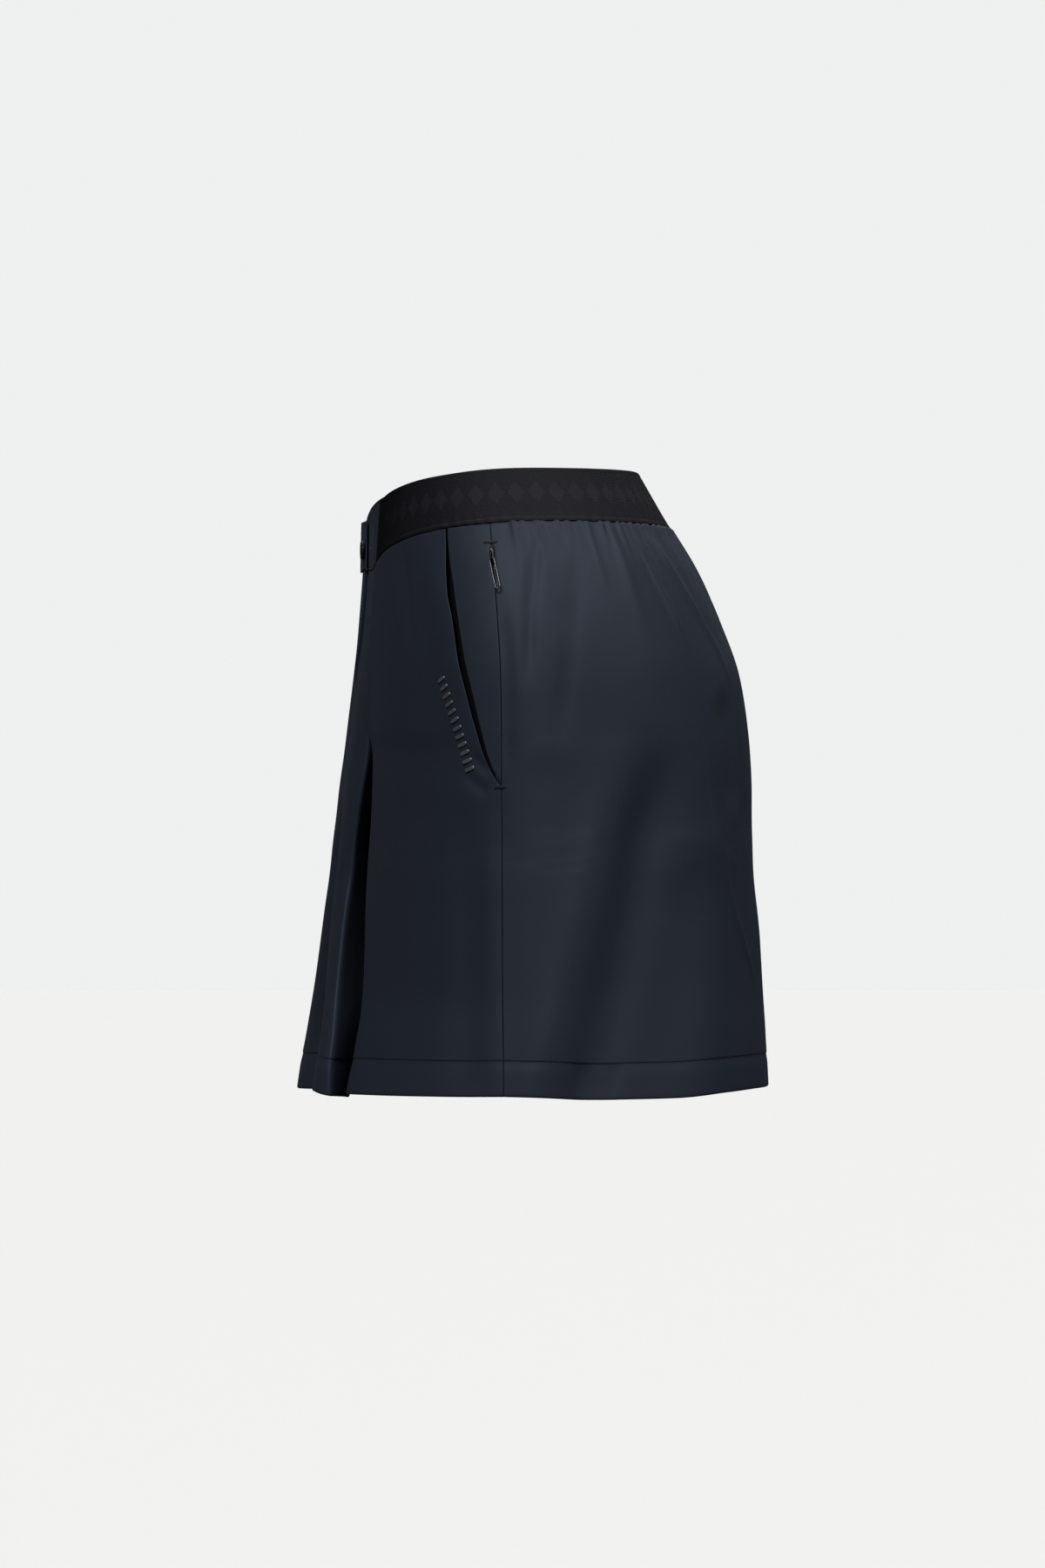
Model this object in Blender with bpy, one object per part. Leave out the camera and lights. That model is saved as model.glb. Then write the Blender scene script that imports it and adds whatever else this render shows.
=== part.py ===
"""Pleated athletic shorts, worn and filled out with no wearer.

Wide shorts in a smooth woven cloth. Each front is one piece with a pleat that is sewn shut from the
waistband down to the hip and falls open below it. The sides have a slanted pocket mouth, with a zipped
pocket in the side seam behind it. The backs are gathered into a broad elastic waistband, which stops at
the pleats: between them the waistband is made of the cloth, in two tabs that lap and close with a button.

Sizes are in millimetres until they reach a mesh. +X is the wearer's left, -Y the front, +Z up, and the
origin is the middle of the waist. A half section is the line of the cloth at one height, from the front
middle round the wearer's left side to the back middle. Below the crotch it closes into one leg's round.
The tables and functions describe the left half, and the right half is its mirror image.
"""

import functools
import math

import bpy
import numpy as np
from mathutils import Matrix, Vector

MM = 0.001

# Cloth, seams and heights.
CLOTH_WALL = 1.2
BAND_WALL = 1.8
FOOT_GAP = 0.6
SEAM_GAP = 0.3
HEM_HEIGHT = -361.5

# Front of the half section, mid-wall. The columns are
#   height      height of the section
#   front_mid   Y of the inner front end: the fly, then the crotch curve, then the inseam
#   ridge_x/_y  most forward point of the front panel
#   brow_x/_y   where the front panel turns in towards the pleat
#   pit_x/_y    inner fold of the pleat
#   fold_x/_y   outer fold of the pleat, in front of the side
FRONT_COLUMNS = (
    "height", "front_mid", "ridge_x", "ridge_y", "brow_x", "brow_y", "pit_x", "pit_y", "fold_x", "fold_y",
)
FRONT_ROWS = (
    (32, -91.6, 24, -91.4, 48, -88.4, 50, -88.0, 52, -87.6),
    (6, -93.0, 25, -92.8, 50, -89.8, 52, -89.3, 54, -88.8),
    (-36, -93.4, 27, -93.3, 52, -92.4, 54, -92.0, 56, -91.8),
    (-72, -96.2, 28, -96.1, 55, -94.9, 57, -94.3, 59, -94.3),
    (-104, -100.2, 28, -100.0, 58, -96.6, 60, -95.8, 62, -96.0),
    (-135, -104.4, 28, -104.0, 60, -97.4, 62, -96.3, 64, -96.6),
    (-151, -106.3, 30, -105.9, 61, -98.0, 52, -92.4, 67.5, -94.6),
    (-172, -109.2, 32, -108.8, 60, -101.6, 44, -92.2, 72, -95.2),
    (-192, -106.0, 32, -111.0, 58, -104.4, 35, -92.2, 74.5, -96.1),
    (-208, -74.0, 31, -113.2, 56.5, -106.2, 31, -93.0, 76, -97.4),
    (-225, 14.85, 30, -115.0, 56, -107.6, 30, -94.0, 78, -98.7),
    (-250, 14.85, 33, -118.2, 62, -112.0, 33, -95.8, 82.5, -100.2),
    (-298, 14.85, 58, -123.2, 76, -118.0, 45, -98.4, 90, -101.6),
    (-328, 14.85, 76, -127.4, 90, -121.3, 56, -103.0, 93.5, -106.6),
    (-345, 14.85, 80, -130.6, 95, -123.7, 62, -106.4, 94.5, -110.0),
    (-365, 14.85, 81, -133.6, 98, -124.4, 68, -111.0, 98, -114.4),
)

# Side and back of the half section. The columns are
#   half_width  X of the widest point
#   side_y      Y of the widest point
#   squareness  2 is an ellipse from fold to side, more is fuller
#   seat_x/_y   most backward point
#   back_mid    Y of the inner back end: the back seam, then the crotch curve, then the inseam
#   inner_x     X of both inner ends
BACK_COLUMNS = (
    "height", "half_width", "side_y", "squareness", "seat_x", "seat_y", "back_mid", "inner_x",
)
BACK_ROWS = (
    (32, 134, 0, 2.3, 10, 70.5, 70.5, 0.15),
    (25, 138, 0, 2.3, 12, 74.5, 74.5, 0.15),
    (-8, 157, 2, 2.3, 20, 92.4, 92.2, 0.15),
    (-36, 172, 5, 2.3, 28, 109.2, 108.6, 0.15),
    (-72, 185, 8, 2.3, 36, 125.4, 124.0, 0.15),
    (-104, 192.5, 10, 2.25, 46, 135.7, 133.8, 0.15),
    (-135, 197, 12, 2.2, 54, 139.7, 137.5, 0.15),
    (-151, 199, 13, 2.2, 57, 140.9, 138.0, 0.15),
    (-172, 201, 14, 2.2, 60, 141.6, 135.5, 0.15),
    (-192, 203.2, 14, 2.15, 62, 141.4, 120.5, 0.75),
    (-208, 205, 15, 2.15, 64, 141.9, 84.0, 0.75),
    (-225, 207, 15, 2.15, 66, 142.5, 15.15, 0.75),
    (-250, 210, 15, 2.1, 68, 144.2, 15.15, 3.0),
    (-298, 215, 15, 2.1, 72, 147.0, 15.15, 7.5),
    (-328, 218.5, 14, 2.1, 75, 149.0, 15.15, 10.5),
    (-365, 222.5, 14, 2.1, 77, 150.4, 15.15, 13.5),
)
INNER_SQUARENESS = 3.2
SEAT_SQUARENESS = 2.15
SOFT_ROUNDING = 6.0
CRISP_ROUNDING = {"brow": 1.1, "fold": 1.3}
CRISP_REACH = {"brow": 9.0, "fold": 16.0}

# Heights of the waistband's two edges, by X as a share of the half width.
BAND_TOP_LEFT = (
    (0, -4.4), (0.12, -3.2), (0.2, 1.6), (0.35, 6.2), (0.465, 11.0), (0.72, 18.0), (0.88, 21.6), (1, 25.0),
)
BAND_TOP_RIGHT = (
    (0, -4.4), (0.2, -4.4), (0.3, -3.8), (0.35, -0.8), (0.465, 6.4), (0.72, 16.6), (0.88, 21.6), (1, 25.0),
)
BAND_TOP_BACK = ((0, 23.6), (0.6, 25.0), (1, 25.0))
BAND_FOOT_FRONT = (
    (0, -34.8), (0.05, -34.9), (0.16, -36.4), (0.265, -35.4), (0.31, -33.0), (0.36, -29.2), (0.42, -25.7),
    (0.5, -22.6), (0.66, -17.6), (0.84, -12.8), (0.962, -9.8), (1, -8.3),
)
BAND_FOOT_BACK = ((0, -12.0), (0.63, -9.7), (1, -8.3))

# How far the hem rises or drops: at marks of a front, and by the way from side seam to back middle.
FRONT_HEM_SHIFT = {"front_mid": 0.0, "ridge": 0.4, "brow": -2.0, "pit": -3.6, "fold": -0.8, "edge": 0.9}
BACK_HEM_SHIFT = ((0, 0.9), (0.15, -0.4), (0.25, -0.3), (0.35, 2.2), (0.45, 3.6), (0.6, 3.8), (1, 3.0))
RIGHT_RIDGE_DROP = 3.0
HEM_SHIFT_START = -300.0

# The side seam and the pocket mouth, as rows of height and Y.
SIDE_SEAM = ((30, -30.2), (-8, -29.1), (-60, -26.9), (-110, -25.3), (-173, -25.1), (-365, -25.6))
POCKET_MOUTH = (
    (0, -55), (-16, -54.9), (-31, -54.9), (-52, -53.8), (-68, -51.4), (-95, -48.2), (-117, -43.4),
    (-138, -38.6), (-159, -32.8), (-173, -25.1),
)
POCKET_FOOT = -173.0
POCKET_UNDERLAP = 9.0
POCKET_DROP = 2.3
POCKET_LEVEL = (1.0, 13.0)
POCKET_GAPE = 2.2
POCKET_GAPE_LEVEL = (0.5, 4.5)
POCKET_TOP_CLEARANCE = 0.7

# The pocket mouth stands off the pocket by POCKET_LIFT between two heights, and less towards its ends.
POCKET_LIFT = 2.4
POCKET_LIFT_TOP = (-18.0, -60.0)
POCKET_LIFT_FOOT = (-173.0, -120.0)
POCKET_LIFT_SHARES = (1.0, 0.68, 0.35, 0.03)

# Gathers of the backs under the elastic. Their rise varies along the band and fades out below it.
GATHERS_PER_SIDE = 20
GATHER_RISE = 1.3
GATHER_VARIATION = 0.25
GATHER_FADE = 30.0
GATHER_MARGIN = 0.06
POINTS_PER_GATHER = 3

# Fly. The lap stands proud above FLY_FOOT and reaches over the other front above FLY_LAP_FOOT.
FLY_FOOT = -110.0
FLY_LAP_FOOT = -98.0
FLY_LAP_FULL = -84.0
FLY_LAP = 6.0
FLY_PROUD_SHARES = (1.0, 1.0, 0.8, 0.4)

# Tabs and button.
TAB_WALL = 1.6
LAP_GAP = 0.4
UNDER_TAB_END = -28.0
OVER_TAB_END = 18.0
TAB_CLIMB = (-42.0, -31.0)
BUTTON_X = 8.0
BUTTON_HEIGHT = -23.0
BUTTON_RADIUS = 6.0
BUTTON_THICKNESS = 2.4
BUTTON_DISH = 0.9
BUTTON_RIM = 1.6
BUTTON_SIDES = 28
BUTTON_HOLE_RADIUS = 0.75
BUTTON_HOLE_OFFSET = 1.3

# Zip slider and pull, in a frame that lies on the side seam: across it, down it and out of the cloth.
SLIDER_HEIGHT = -30.2
SLIDER_SIZE = (2.6, 9.8, 1.7)
SLIDER_BEVEL = 0.5
ARCH_FEET = (-2.4, 4.3)
ARCH_RISE = 2.4
ARCH_CORNER = 1.2
ARCH_ROD = 0.5
BAR_DOWN = 2.95
BAR_LIFT = 1.05
PULL_ROD = 0.5
PULL_LENGTH = 21.6
PULL_HALF_WIDTH = 1.5
PULL_BAR_HALF = 1.4
PULL_LEAN = 7.0

# Rows of the cloth, counted where the waistband's foot is at ROW_START. Above LEVEL_BELOW they follow it.
ROW_START = -8.0
LEVEL_BELOW = -110.0
FRONT_HEIGHTS = (
    -8, -20, -38, -60, -84, -98, -110, -128, -140, -150, -162, -176, -188, -198, -206, -213, -219, -225,
    -236, -254, -276, -298, -318, -336, -350, -361.5,
)
GATHER_HEIGHTS = (-8, -12, -18, -26, -36)
BACK_HEIGHTS = (
    -50, -70, -94, -118, -142, -162, -178, -190, -200, -208, -215, -220, -225, -238, -262, -290, -326, -361.5,
)
POCKET_HEIGHTS = (-8, -22, -40, -60, -82, -104, -124, -142, -156, -166)
FRONT_STRETCHES = (
    ("front_mid", "ridge", 9), ("ridge", "brow", 3), ("brow", "pit", 3), ("pit", "fold", 3),
    ("fold", "edge", 11),
)
BACK_STRETCHES = (("seam", "widest", 2), ("widest", "seat", 8), ("seat", "back_mid", 8))
POCKET_COLUMN_COUNT = 4
ELASTIC_COLUMN_COUNT = 40
TAB_COLUMN_COUNT = 17
BAND_ROW_COUNT = 3

CLOTH_COLOUR = (0.018, 0.024, 0.034)
ELASTIC_COLOUR = (0.010, 0.009, 0.012)
BUTTON_COLOUR = (0.008, 0.008, 0.010)
METAL_COLOUR = (0.30, 0.29, 0.31)


# ---------------------------------------------------------------- helpers


def clear_scene():
    """Takes everything out of the scene."""
    for obj in list(bpy.data.objects):
        bpy.data.objects.remove(obj)


def finish(name, colour, roughness, metallic=0.0):
    """A plain material for one kind of piece."""
    made = bpy.data.materials.new(name)
    made.use_nodes = True
    shader = made.node_tree.nodes["Principled BSDF"]
    shader.inputs["Base Color"].default_value = (*colour, 1.0)
    shader.inputs["Roughness"].default_value = roughness
    shader.inputs["Metallic"].default_value = metallic
    return made


def glide(x, rows, column=1):
    """Reads one column of a table at x, along a smooth curve that never overshoots its rows."""
    table = np.array(sorted(rows), float)
    xs, ys = table[:, 0], table[:, column]
    x = min(max(float(x), xs[0]), xs[-1])
    slopes = np.diff(ys) / np.diff(xs)
    tangents = np.concatenate([[slopes[0]], np.zeros(len(slopes) - 1), [slopes[-1]]])
    same_way = slopes[:-1] * slopes[1:] > 0
    summed = np.where(same_way, slopes[:-1] + slopes[1:], 1.0)
    tangents[1:-1] = np.where(same_way, 2 * slopes[:-1] * slopes[1:] / summed, 0.0)
    k = min(int(np.searchsorted(xs, x, side="right")) - 1, len(slopes) - 1)
    h = xs[k + 1] - xs[k]
    t = (x - xs[k]) / h
    from_start = (2 * t**3 - 3 * t**2 + 1) * ys[k] + (t**3 - 2 * t**2 + t) * h * tangents[k]
    from_end = (3 * t**2 - 2 * t**3) * ys[k + 1] + (t**3 - t**2) * h * tangents[k + 1]
    return float(from_start + from_end)


def ease(x, start, end):
    """0 at start, 1 at end, smooth between them."""
    t = min(max((x - start) / (end - start), 0.0), 1.0)
    return t * t * (3 - 2 * t)


# ---------------------------------------------------------------- the half section


def bend(start, corner, end, count):
    """A curve that leaves start towards corner and reaches end from it. It leaves out its last point."""
    t = np.linspace(0, 1, count, endpoint=False)[:, None]
    return (1 - t) ** 2 * np.asarray(start) + 2 * t * (1 - t) * np.asarray(corner) + t**2 * np.asarray(end)


def round_quarter(start, end, squareness, count=40):
    """A quarter of a rounded box. It leaves start along Y, reaches end along X and leaves out its end."""
    turn = np.linspace(0, math.pi / 2, count, endpoint=False)
    x = end[0] - (end[0] - start[0]) * np.cos(turn) ** (2 / squareness)
    y = start[1] + (end[1] - start[1]) * np.sin(turn) ** (2 / squareness)
    return np.column_stack([x, y])


def side_quarter(fold, half_width, side_y, squareness, count=50):
    """From the pleat's outer fold to the widest point, on a rounded box that is centred on X = 0."""
    reach = (1 - (fold[0] / half_width) ** squareness) ** (1 / squareness)
    depth = (side_y - fold[1]) / reach
    first = math.asin((fold[0] / half_width) ** (squareness / 2))
    turn = np.linspace(first, math.pi / 2, count, endpoint=False)
    x = half_width * np.sin(turn) ** (2 / squareness)
    y = side_y - depth * np.cos(turn) ** (2 / squareness)
    return np.column_stack([x, y])


def blur(points, rounding):
    """Rounds a line of points 1 mm apart with a bell-shaped average along it. Its two ends stay."""
    reach = int(3 * rounding) + 1
    offsets = np.arange(-reach, reach + 1)
    weights = np.exp(-(offsets**2) / (2 * rounding**2))
    weights /= weights.sum()
    before = 2 * points[0] - points[reach:0:-1]
    after = 2 * points[-1] - points[-2 : -reach - 2 : -1]
    longer = np.vstack([before, points, after])
    return np.column_stack([np.convolve(longer[:, k], weights, "valid") for k in (0, 1)])


@functools.lru_cache(maxsize=None)
def half_section(height):
    """The line at one height: its points, their distances along it, and the distances of its marks."""
    s = {name: glide(height, FRONT_ROWS, k) for k, name in enumerate(FRONT_COLUMNS) if k}
    s |= {name: glide(height, BACK_ROWS, k) for k, name in enumerate(BACK_COLUMNS) if k}
    front_mid, ridge = (s["inner_x"], s["front_mid"]), (s["ridge_x"], s["ridge_y"])
    brow, pit, fold = (s["brow_x"], s["brow_y"]), (s["pit_x"], s["pit_y"]), (s["fold_x"], s["fold_y"])
    widest, seat = (s["half_width"], s["side_y"]), (s["seat_x"], s["seat_y"])
    back_mid = (s["inner_x"], s["back_mid"])
    over_brow = (0.5 * ridge[0] + 0.5 * brow[0], ridge[1])
    into_pit = (0.7 * brow[0] + 0.3 * pit[0], 0.5 * brow[1] + 0.5 * pit[1])
    stretches = {
        "front_mid": round_quarter(front_mid, ridge, INNER_SQUARENESS),
        "ridge": bend(ridge, over_brow, brow, 20),
        "brow": bend(brow, into_pit, pit, 20),
        "pit": bend(pit, (0.5 * pit[0] + 0.5 * fold[0], 0.4 * pit[1] + 0.6 * fold[1]), fold, 20),
        "fold": side_quarter(fold, s["half_width"], s["side_y"], s["squareness"]),
        "widest": round_quarter(widest, seat, SEAT_SQUARENESS, 50),
        "seat": round_quarter(back_mid, seat, INNER_SQUARENESS)[::-1],
    }
    line = np.vstack(list(stretches.values()))
    lengths = np.concatenate([[0], np.cumsum(np.linalg.norm(np.diff(line, axis=0), axis=1))])
    firsts = np.cumsum([0] + [len(points) for points in stretches.values()])
    marks = {name: lengths[first] for name, first in zip(stretches, firsts)}
    marks["back_mid"] = lengths[-1]
    places = np.linspace(0, lengths[-1], int(lengths[-1]) + 1)
    even = np.column_stack([np.interp(places, lengths, line[:, k]) for k in (0, 1)])
    rounded = blur(even, SOFT_ROUNDING)
    for mark, rounding in CRISP_ROUNDING.items():
        crisp = np.exp(-(((places - marks[mark]) / CRISP_REACH[mark]) ** 4))[:, None]
        rounded = crisp * blur(even, rounding) + (1 - crisp) * rounded
    on_side = (places > marks["fold"]) & (places < marks["widest"])
    y_of_side, place_of_side = rounded[on_side, 1], places[on_side]
    marks["seam"] = float(np.interp(glide(height, SIDE_SEAM), y_of_side, place_of_side))
    mouth = glide(max(height, POCKET_FOOT), POCKET_MOUTH)
    marks["mouth"] = float(np.interp(mouth, y_of_side, place_of_side))
    marks["edge"] = marks["mouth"] if height > POCKET_FOOT else marks["seam"]
    return rounded, places, marks


def point_at(height, place):
    """A point of the cloth, as X, Y and height, at a distance along the half section."""
    points, places, _ = half_section(height)
    return [float(np.interp(place, places, points[:, k])) for k in (0, 1)] + [height]


def waist_share(height, place):
    """X as a share of the half width."""
    return min(point_at(height, place)[0] / glide(height, BACK_ROWS), 1.0)


def row_height(nominal, foot):
    """The height of a row where the waistband's foot is at the given height."""
    return round(nominal + (foot - FOOT_GAP - ROW_START) * ease(nominal, LEVEL_BELOW, ROW_START), 1)


# ---------------------------------------------------------------- walls of cloth


def zip_rows(points, first, second):
    """Triangles between two rows of point numbers, which may be of different lengths."""
    faces, i, j = [], 0, 0
    while i < len(first) - 1 or j < len(second) - 1:
        if i == len(first) - 1 or j == len(second) - 1:
            take_first = i < len(first) - 1
        else:
            over_first = np.linalg.norm(points[first[i + 1]] - points[second[j]])
            take_first = over_first <= np.linalg.norm(points[first[i]] - points[second[j + 1]])
        if take_first:
            faces.append((first[i], second[j], first[i + 1]))
            i += 1
        else:
            faces.append((first[i], second[j], second[j + 1]))
            j += 1
    return faces


def point_normals(points, faces):
    """The outward direction at each point, from the faces round it."""
    normals = np.zeros_like(points)
    for face in faces:
        corners = points[list(face)]
        across = np.cross(corners[1] - corners[0], corners[2] - corners[0])
        for number in face:
            normals[number] += across
    return normals / np.linalg.norm(normals, axis=1)[:, None]


def add_wall(name, rows, wall, material, rises=None, mirrored=False, on_one_side=True):
    """A closed wall along rows of mid-wall points. Rises lift the outer face only.

    A wall on one side keeps clear of the middle plane, but for points that are meant to lie past it.
    """
    numbers = []
    for row in rows:
        start = numbers[-1][-1] + 1 if numbers else 0
        numbers.append(list(range(start, start + len(row))))
    points = np.array([point for row in rows for point in row], float)
    faces = [face for pair in zip(numbers, numbers[1:]) for face in zip_rows(points, *pair)]
    normals = point_normals(points, faces)
    lifts = np.zeros(len(points)) if rises is None else np.array([rise for row in rises for rise in row])
    outer = points + normals * (wall / 2 + lifts)[:, None]
    inner = points - normals * (wall / 2)
    if on_one_side:
        left_of_middle = points[:, 0] > 0
        for face in (outer, inner):
            face[left_of_middle, 0] = np.maximum(face[left_of_middle, 0], SEAM_GAP / 2)
    count = len(points)
    edges = {(a, b) for face in faces for a, b in zip(face, face[1:] + face[:1])}
    rims = [(b, a, a + count, b + count) for a, b in sorted(edges) if (b, a) not in edges]
    backs = [tuple(number + count for number in face[::-1]) for face in faces]
    return add_mesh(name, np.vstack([outer, inner]), faces + backs + rims, material, mirrored)


def faces_outward(points, faces):
    """The faces, turned round if the closed shape that they make is inside out."""
    volume = 0.0
    for face in faces:
        for k in range(1, len(face) - 1):
            volume += np.dot(points[face[0]], np.cross(points[face[k]], points[face[k + 1]]))
    return faces if volume > 0 else [tuple(face)[::-1] for face in faces]


def add_mesh(name, points, faces, material, mirrored=False):
    """An object from points in millimetres. A mirrored one is on the wearer's right."""
    points = np.array(points, float)
    if mirrored:
        points[:, 0] *= -1
    mesh = bpy.data.meshes.new(name)
    mesh.from_pydata((points * MM).tolist(), [], faces_outward(points, faces))
    mesh.materials.append(material)
    obj = bpy.data.objects.new(name, mesh)
    bpy.context.scene.collection.objects.link(obj)
    return obj


# ---------------------------------------------------------------- fronts, backs and pockets


def front_places(height):
    """Distances of a front's columns along the half section, from the fly to the pocket mouth or seam."""
    marks = half_section(height)[2]
    places = []
    for start, end, count in FRONT_STRETCHES:
        places.extend(np.linspace(marks[start], marks[end], count, endpoint=False))
    return places + [marks["edge"] - SEAM_GAP / 2]


def front_feet():
    """The waistband's foot above each column of a front, worked out in turns."""
    feet = [glide(0.5, BAND_FOOT_FRONT)] * len(front_places(ROW_START))
    for _ in range(4):
        heights = [row_height(ROW_START, foot) for foot in feet]
        shares = [waist_share(height, front_places(height)[k]) for k, height in enumerate(heights)]
        feet = [glide(share, BAND_FOOT_FRONT) for share in shares]
    return feet


def hem_shift(nominal, shift):
    """The part of a hem's rise or drop that a row takes."""
    return shift * ease(nominal, HEM_SHIFT_START, HEM_HEIGHT)


def front_hem_shifts(over):
    """How far each column of a front moves its hem."""
    shifts = []
    for start, end, count in FRONT_STRETCHES:
        first, last = FRONT_HEM_SHIFT[start], FRONT_HEM_SHIFT[end]
        if over and start == "ridge":
            first -= RIGHT_RIDGE_DROP
        if over and end == "ridge":
            last -= RIGHT_RIDGE_DROP
        shifts.extend(np.linspace(first, last, count, endpoint=False))
    return shifts + [FRONT_HEM_SHIFT["edge"]]


def add_front(name, material, over, mirrored):
    """One front. The over one carries the fly edge that laps the other."""
    feet, shifts = front_feet(), front_hem_shifts(over)
    rows = []
    for nominal in FRONT_HEIGHTS:
        row = []
        for k, foot in enumerate(feet):
            height = row_height(nominal, foot)
            point = point_at(height, front_places(height)[k])
            row.append(point[:2] + [height + hem_shift(nominal, shifts[k])])
        if over:
            lap_fly(row)
        rows.append(row)
    lift_mouth(rows)
    return add_wall(name, rows, CLOTH_WALL, material, mirrored=mirrored)


def lap_fly(row):
    """Carries a row's front end over the other front, just proud of it."""
    height = row[0][2]
    proud = (CLOTH_WALL + LAP_GAP) * ease(height, FLY_FOOT, FLY_LAP_FOOT)
    row[0][0] -= FLY_LAP * ease(height, FLY_LAP_FOOT, FLY_LAP_FULL)
    for point, share in zip(row, FLY_PROUD_SHARES):
        point[1] -= proud * share


def lift_mouth(rows):
    """Lets the pocket mouth stand a little off the pocket, away from its two ends."""
    for row in rows:
        for point, share in zip(row[::-1], POCKET_LIFT_SHARES):
            lift = POCKET_LIFT * share * ease(point[2], *POCKET_LIFT_FOOT) * ease(point[2], *POCKET_LIFT_TOP)
            side_y = glide(point[2], BACK_ROWS, BACK_COLUMNS.index("side_y"))
            outward = Vector((point[0] / 2, point[1] - side_y, 0)).normalized()
            point[0] += lift * outward.x
            point[1] += lift * outward.y


def even_back_places(height):
    """Distances of a back's columns along the gathers, from the side seam to the back middle."""
    marks = half_section(height)[2]
    steps = GATHERS_PER_SIDE * POINTS_PER_GATHER
    return np.linspace(marks["seam"] + SEAM_GAP / 2, marks["back_mid"], steps + 1)


def wide_back_places(height):
    """Distances of a back's columns below the gathers, from the side seam to the back middle."""
    marks = half_section(height)[2]
    places = []
    for start, end, count in BACK_STRETCHES:
        places.extend(np.linspace(marks[start], marks[end], count, endpoint=False))
    places[0] += SEAM_GAP / 2
    return places + [marks["back_mid"]]


def back_row(nominal, places_of):
    """One row of a back, on the columns that places_of gives at a height."""
    marks, row = half_section(ROW_START)[2], []
    for k, near in enumerate(places_of(ROW_START)):
        edge = BAND_FOOT_FRONT if near < marks["widest"] else BAND_FOOT_BACK
        height = row_height(nominal, glide(waist_share(ROW_START, near), edge))
        place = places_of(height)[k]
        here = half_section(height)[2]
        share = (place - here["seam"]) / (here["back_mid"] - here["seam"])
        point = point_at(height, place)
        row.append(point[:2] + [height + hem_shift(nominal, glide(share, BACK_HEM_SHIFT))])
    return row


def gather_rise(share, below_band):
    """How far a gather lifts the outer face, share being the way from the side seam to the back middle."""
    inside = ease(share, 0, GATHER_MARGIN) * ease(share, 1, 1 - GATHER_MARGIN)
    wave = 0.5 - 0.5 * math.cos(2 * math.pi * GATHERS_PER_SIDE * share)
    uneven = 1 - GATHER_VARIATION * (1 - math.sin(29 * share + 1))
    return GATHER_RISE * inside * wave * uneven * (1 - ease(below_band, 0, GATHER_FADE))


def add_back(name, material, mirrored):
    """One back, with its gathers raised in the outer face."""
    shares = np.linspace(0, 1, GATHERS_PER_SIDE * POINTS_PER_GATHER + 1)
    rows = [back_row(nominal, even_back_places) for nominal in GATHER_HEIGHTS]
    rises = [[gather_rise(share, ROW_START - nominal) for share in shares] for nominal in GATHER_HEIGHTS]
    for nominal in BACK_HEIGHTS:
        rows.append(back_row(nominal, wide_back_places))
        rises.append([0.0] * len(rows[-1]))
    return add_wall(name, rows, CLOTH_WALL, material, rises, mirrored)


def pocket_place(height, column):
    """Distance along the half section of one column of a pocket side piece."""
    marks = half_section(height)[2]
    start, end = marks["mouth"] - POCKET_UNDERLAP, marks["seam"] - SEAM_GAP / 2
    return start + (end - start) * column / POCKET_COLUMN_COUNT


def pocket_drop(height, place):
    """How far a pocket side piece lies under the level of the front: all the way until past the mouth.

    Between the mouth's ends it lies deeper still, up to just past the mouth.
    """
    past_mouth = place - half_section(height)[2]["mouth"]
    gape = POCKET_GAPE * ease(height, *POCKET_LIFT_FOOT) * ease(height, *POCKET_LIFT_TOP)
    drop = POCKET_DROP * (1 - ease(past_mouth, *POCKET_LEVEL))
    return drop + gape * (1 - ease(past_mouth, *POCKET_GAPE_LEVEL))


def add_pocket_side(name, material, mirrored):
    """The side piece that shows behind the pocket mouth. Its front margin runs under the front."""
    rows = []
    for nominal in POCKET_HEIGHTS:
        row = []
        for k in range(POCKET_COLUMN_COUNT + 1):
            near = pocket_place(ROW_START, k)
            foot = glide(waist_share(ROW_START, near), BAND_FOOT_FRONT)
            foot -= POCKET_TOP_CLEARANCE * pocket_drop(ROW_START, near)
            height = row_height(nominal, foot)
            place = pocket_place(height, k)
            drop = pocket_drop(height, place)
            here, ahead = point_at(height, place), point_at(height, place + 1)
            along = Vector((ahead[0] - here[0], ahead[1] - here[1], 0)).normalized()
            row.append([here[0] - along.y * drop, here[1] + along.x * drop, here[2]])
        rows.append(row)
    return add_wall(name, rows, CLOTH_WALL, material, mirrored=mirrored)


# ---------------------------------------------------------------- waistband


def band_column(share_of_way, edge_rows):
    """One edge point of the elastic on the left half: 0 is its front end, 1 the back middle."""
    height = 0.0
    for _ in range(6):
        marks = half_section(round(height, 1))[2]
        place = marks["fold"] + (marks["back_mid"] - marks["fold"]) * share_of_way
        rows = edge_rows[0] if place < marks["widest"] else edge_rows[1]
        height = glide(waist_share(round(height, 1), place), rows)
    return point_at(round(height, 1), place)


def add_elastic(name, material):
    """The elastic, from the left pleat round the back to the right pleat."""
    halves = []
    for top_rows in (BAND_TOP_LEFT, BAND_TOP_RIGHT):
        half = []
        for k in range(ELASTIC_COLUMN_COUNT + 1):
            share = k / ELASTIC_COLUMN_COUNT
            top = np.array(band_column(share, (top_rows, BAND_TOP_BACK)))
            half.append((top, np.array(band_column(share, (BAND_FOOT_FRONT, BAND_FOOT_BACK)))))
        halves.append(half)
    right = [(top * (-1, 1, 1), foot * (-1, 1, 1)) for top, foot in halves[1][-2::-1]]
    rows = band_rows(halves[0] + right)
    return add_wall(name, rows, BAND_WALL, material, on_one_side=False)


def band_rows(columns):
    """Rows between the top and the foot of the columns."""
    shares = np.linspace(0, 1, BAND_ROW_COUNT)
    return [[(top + (foot - top) * share).tolist() for top, foot in columns] for share in shares]


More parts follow.
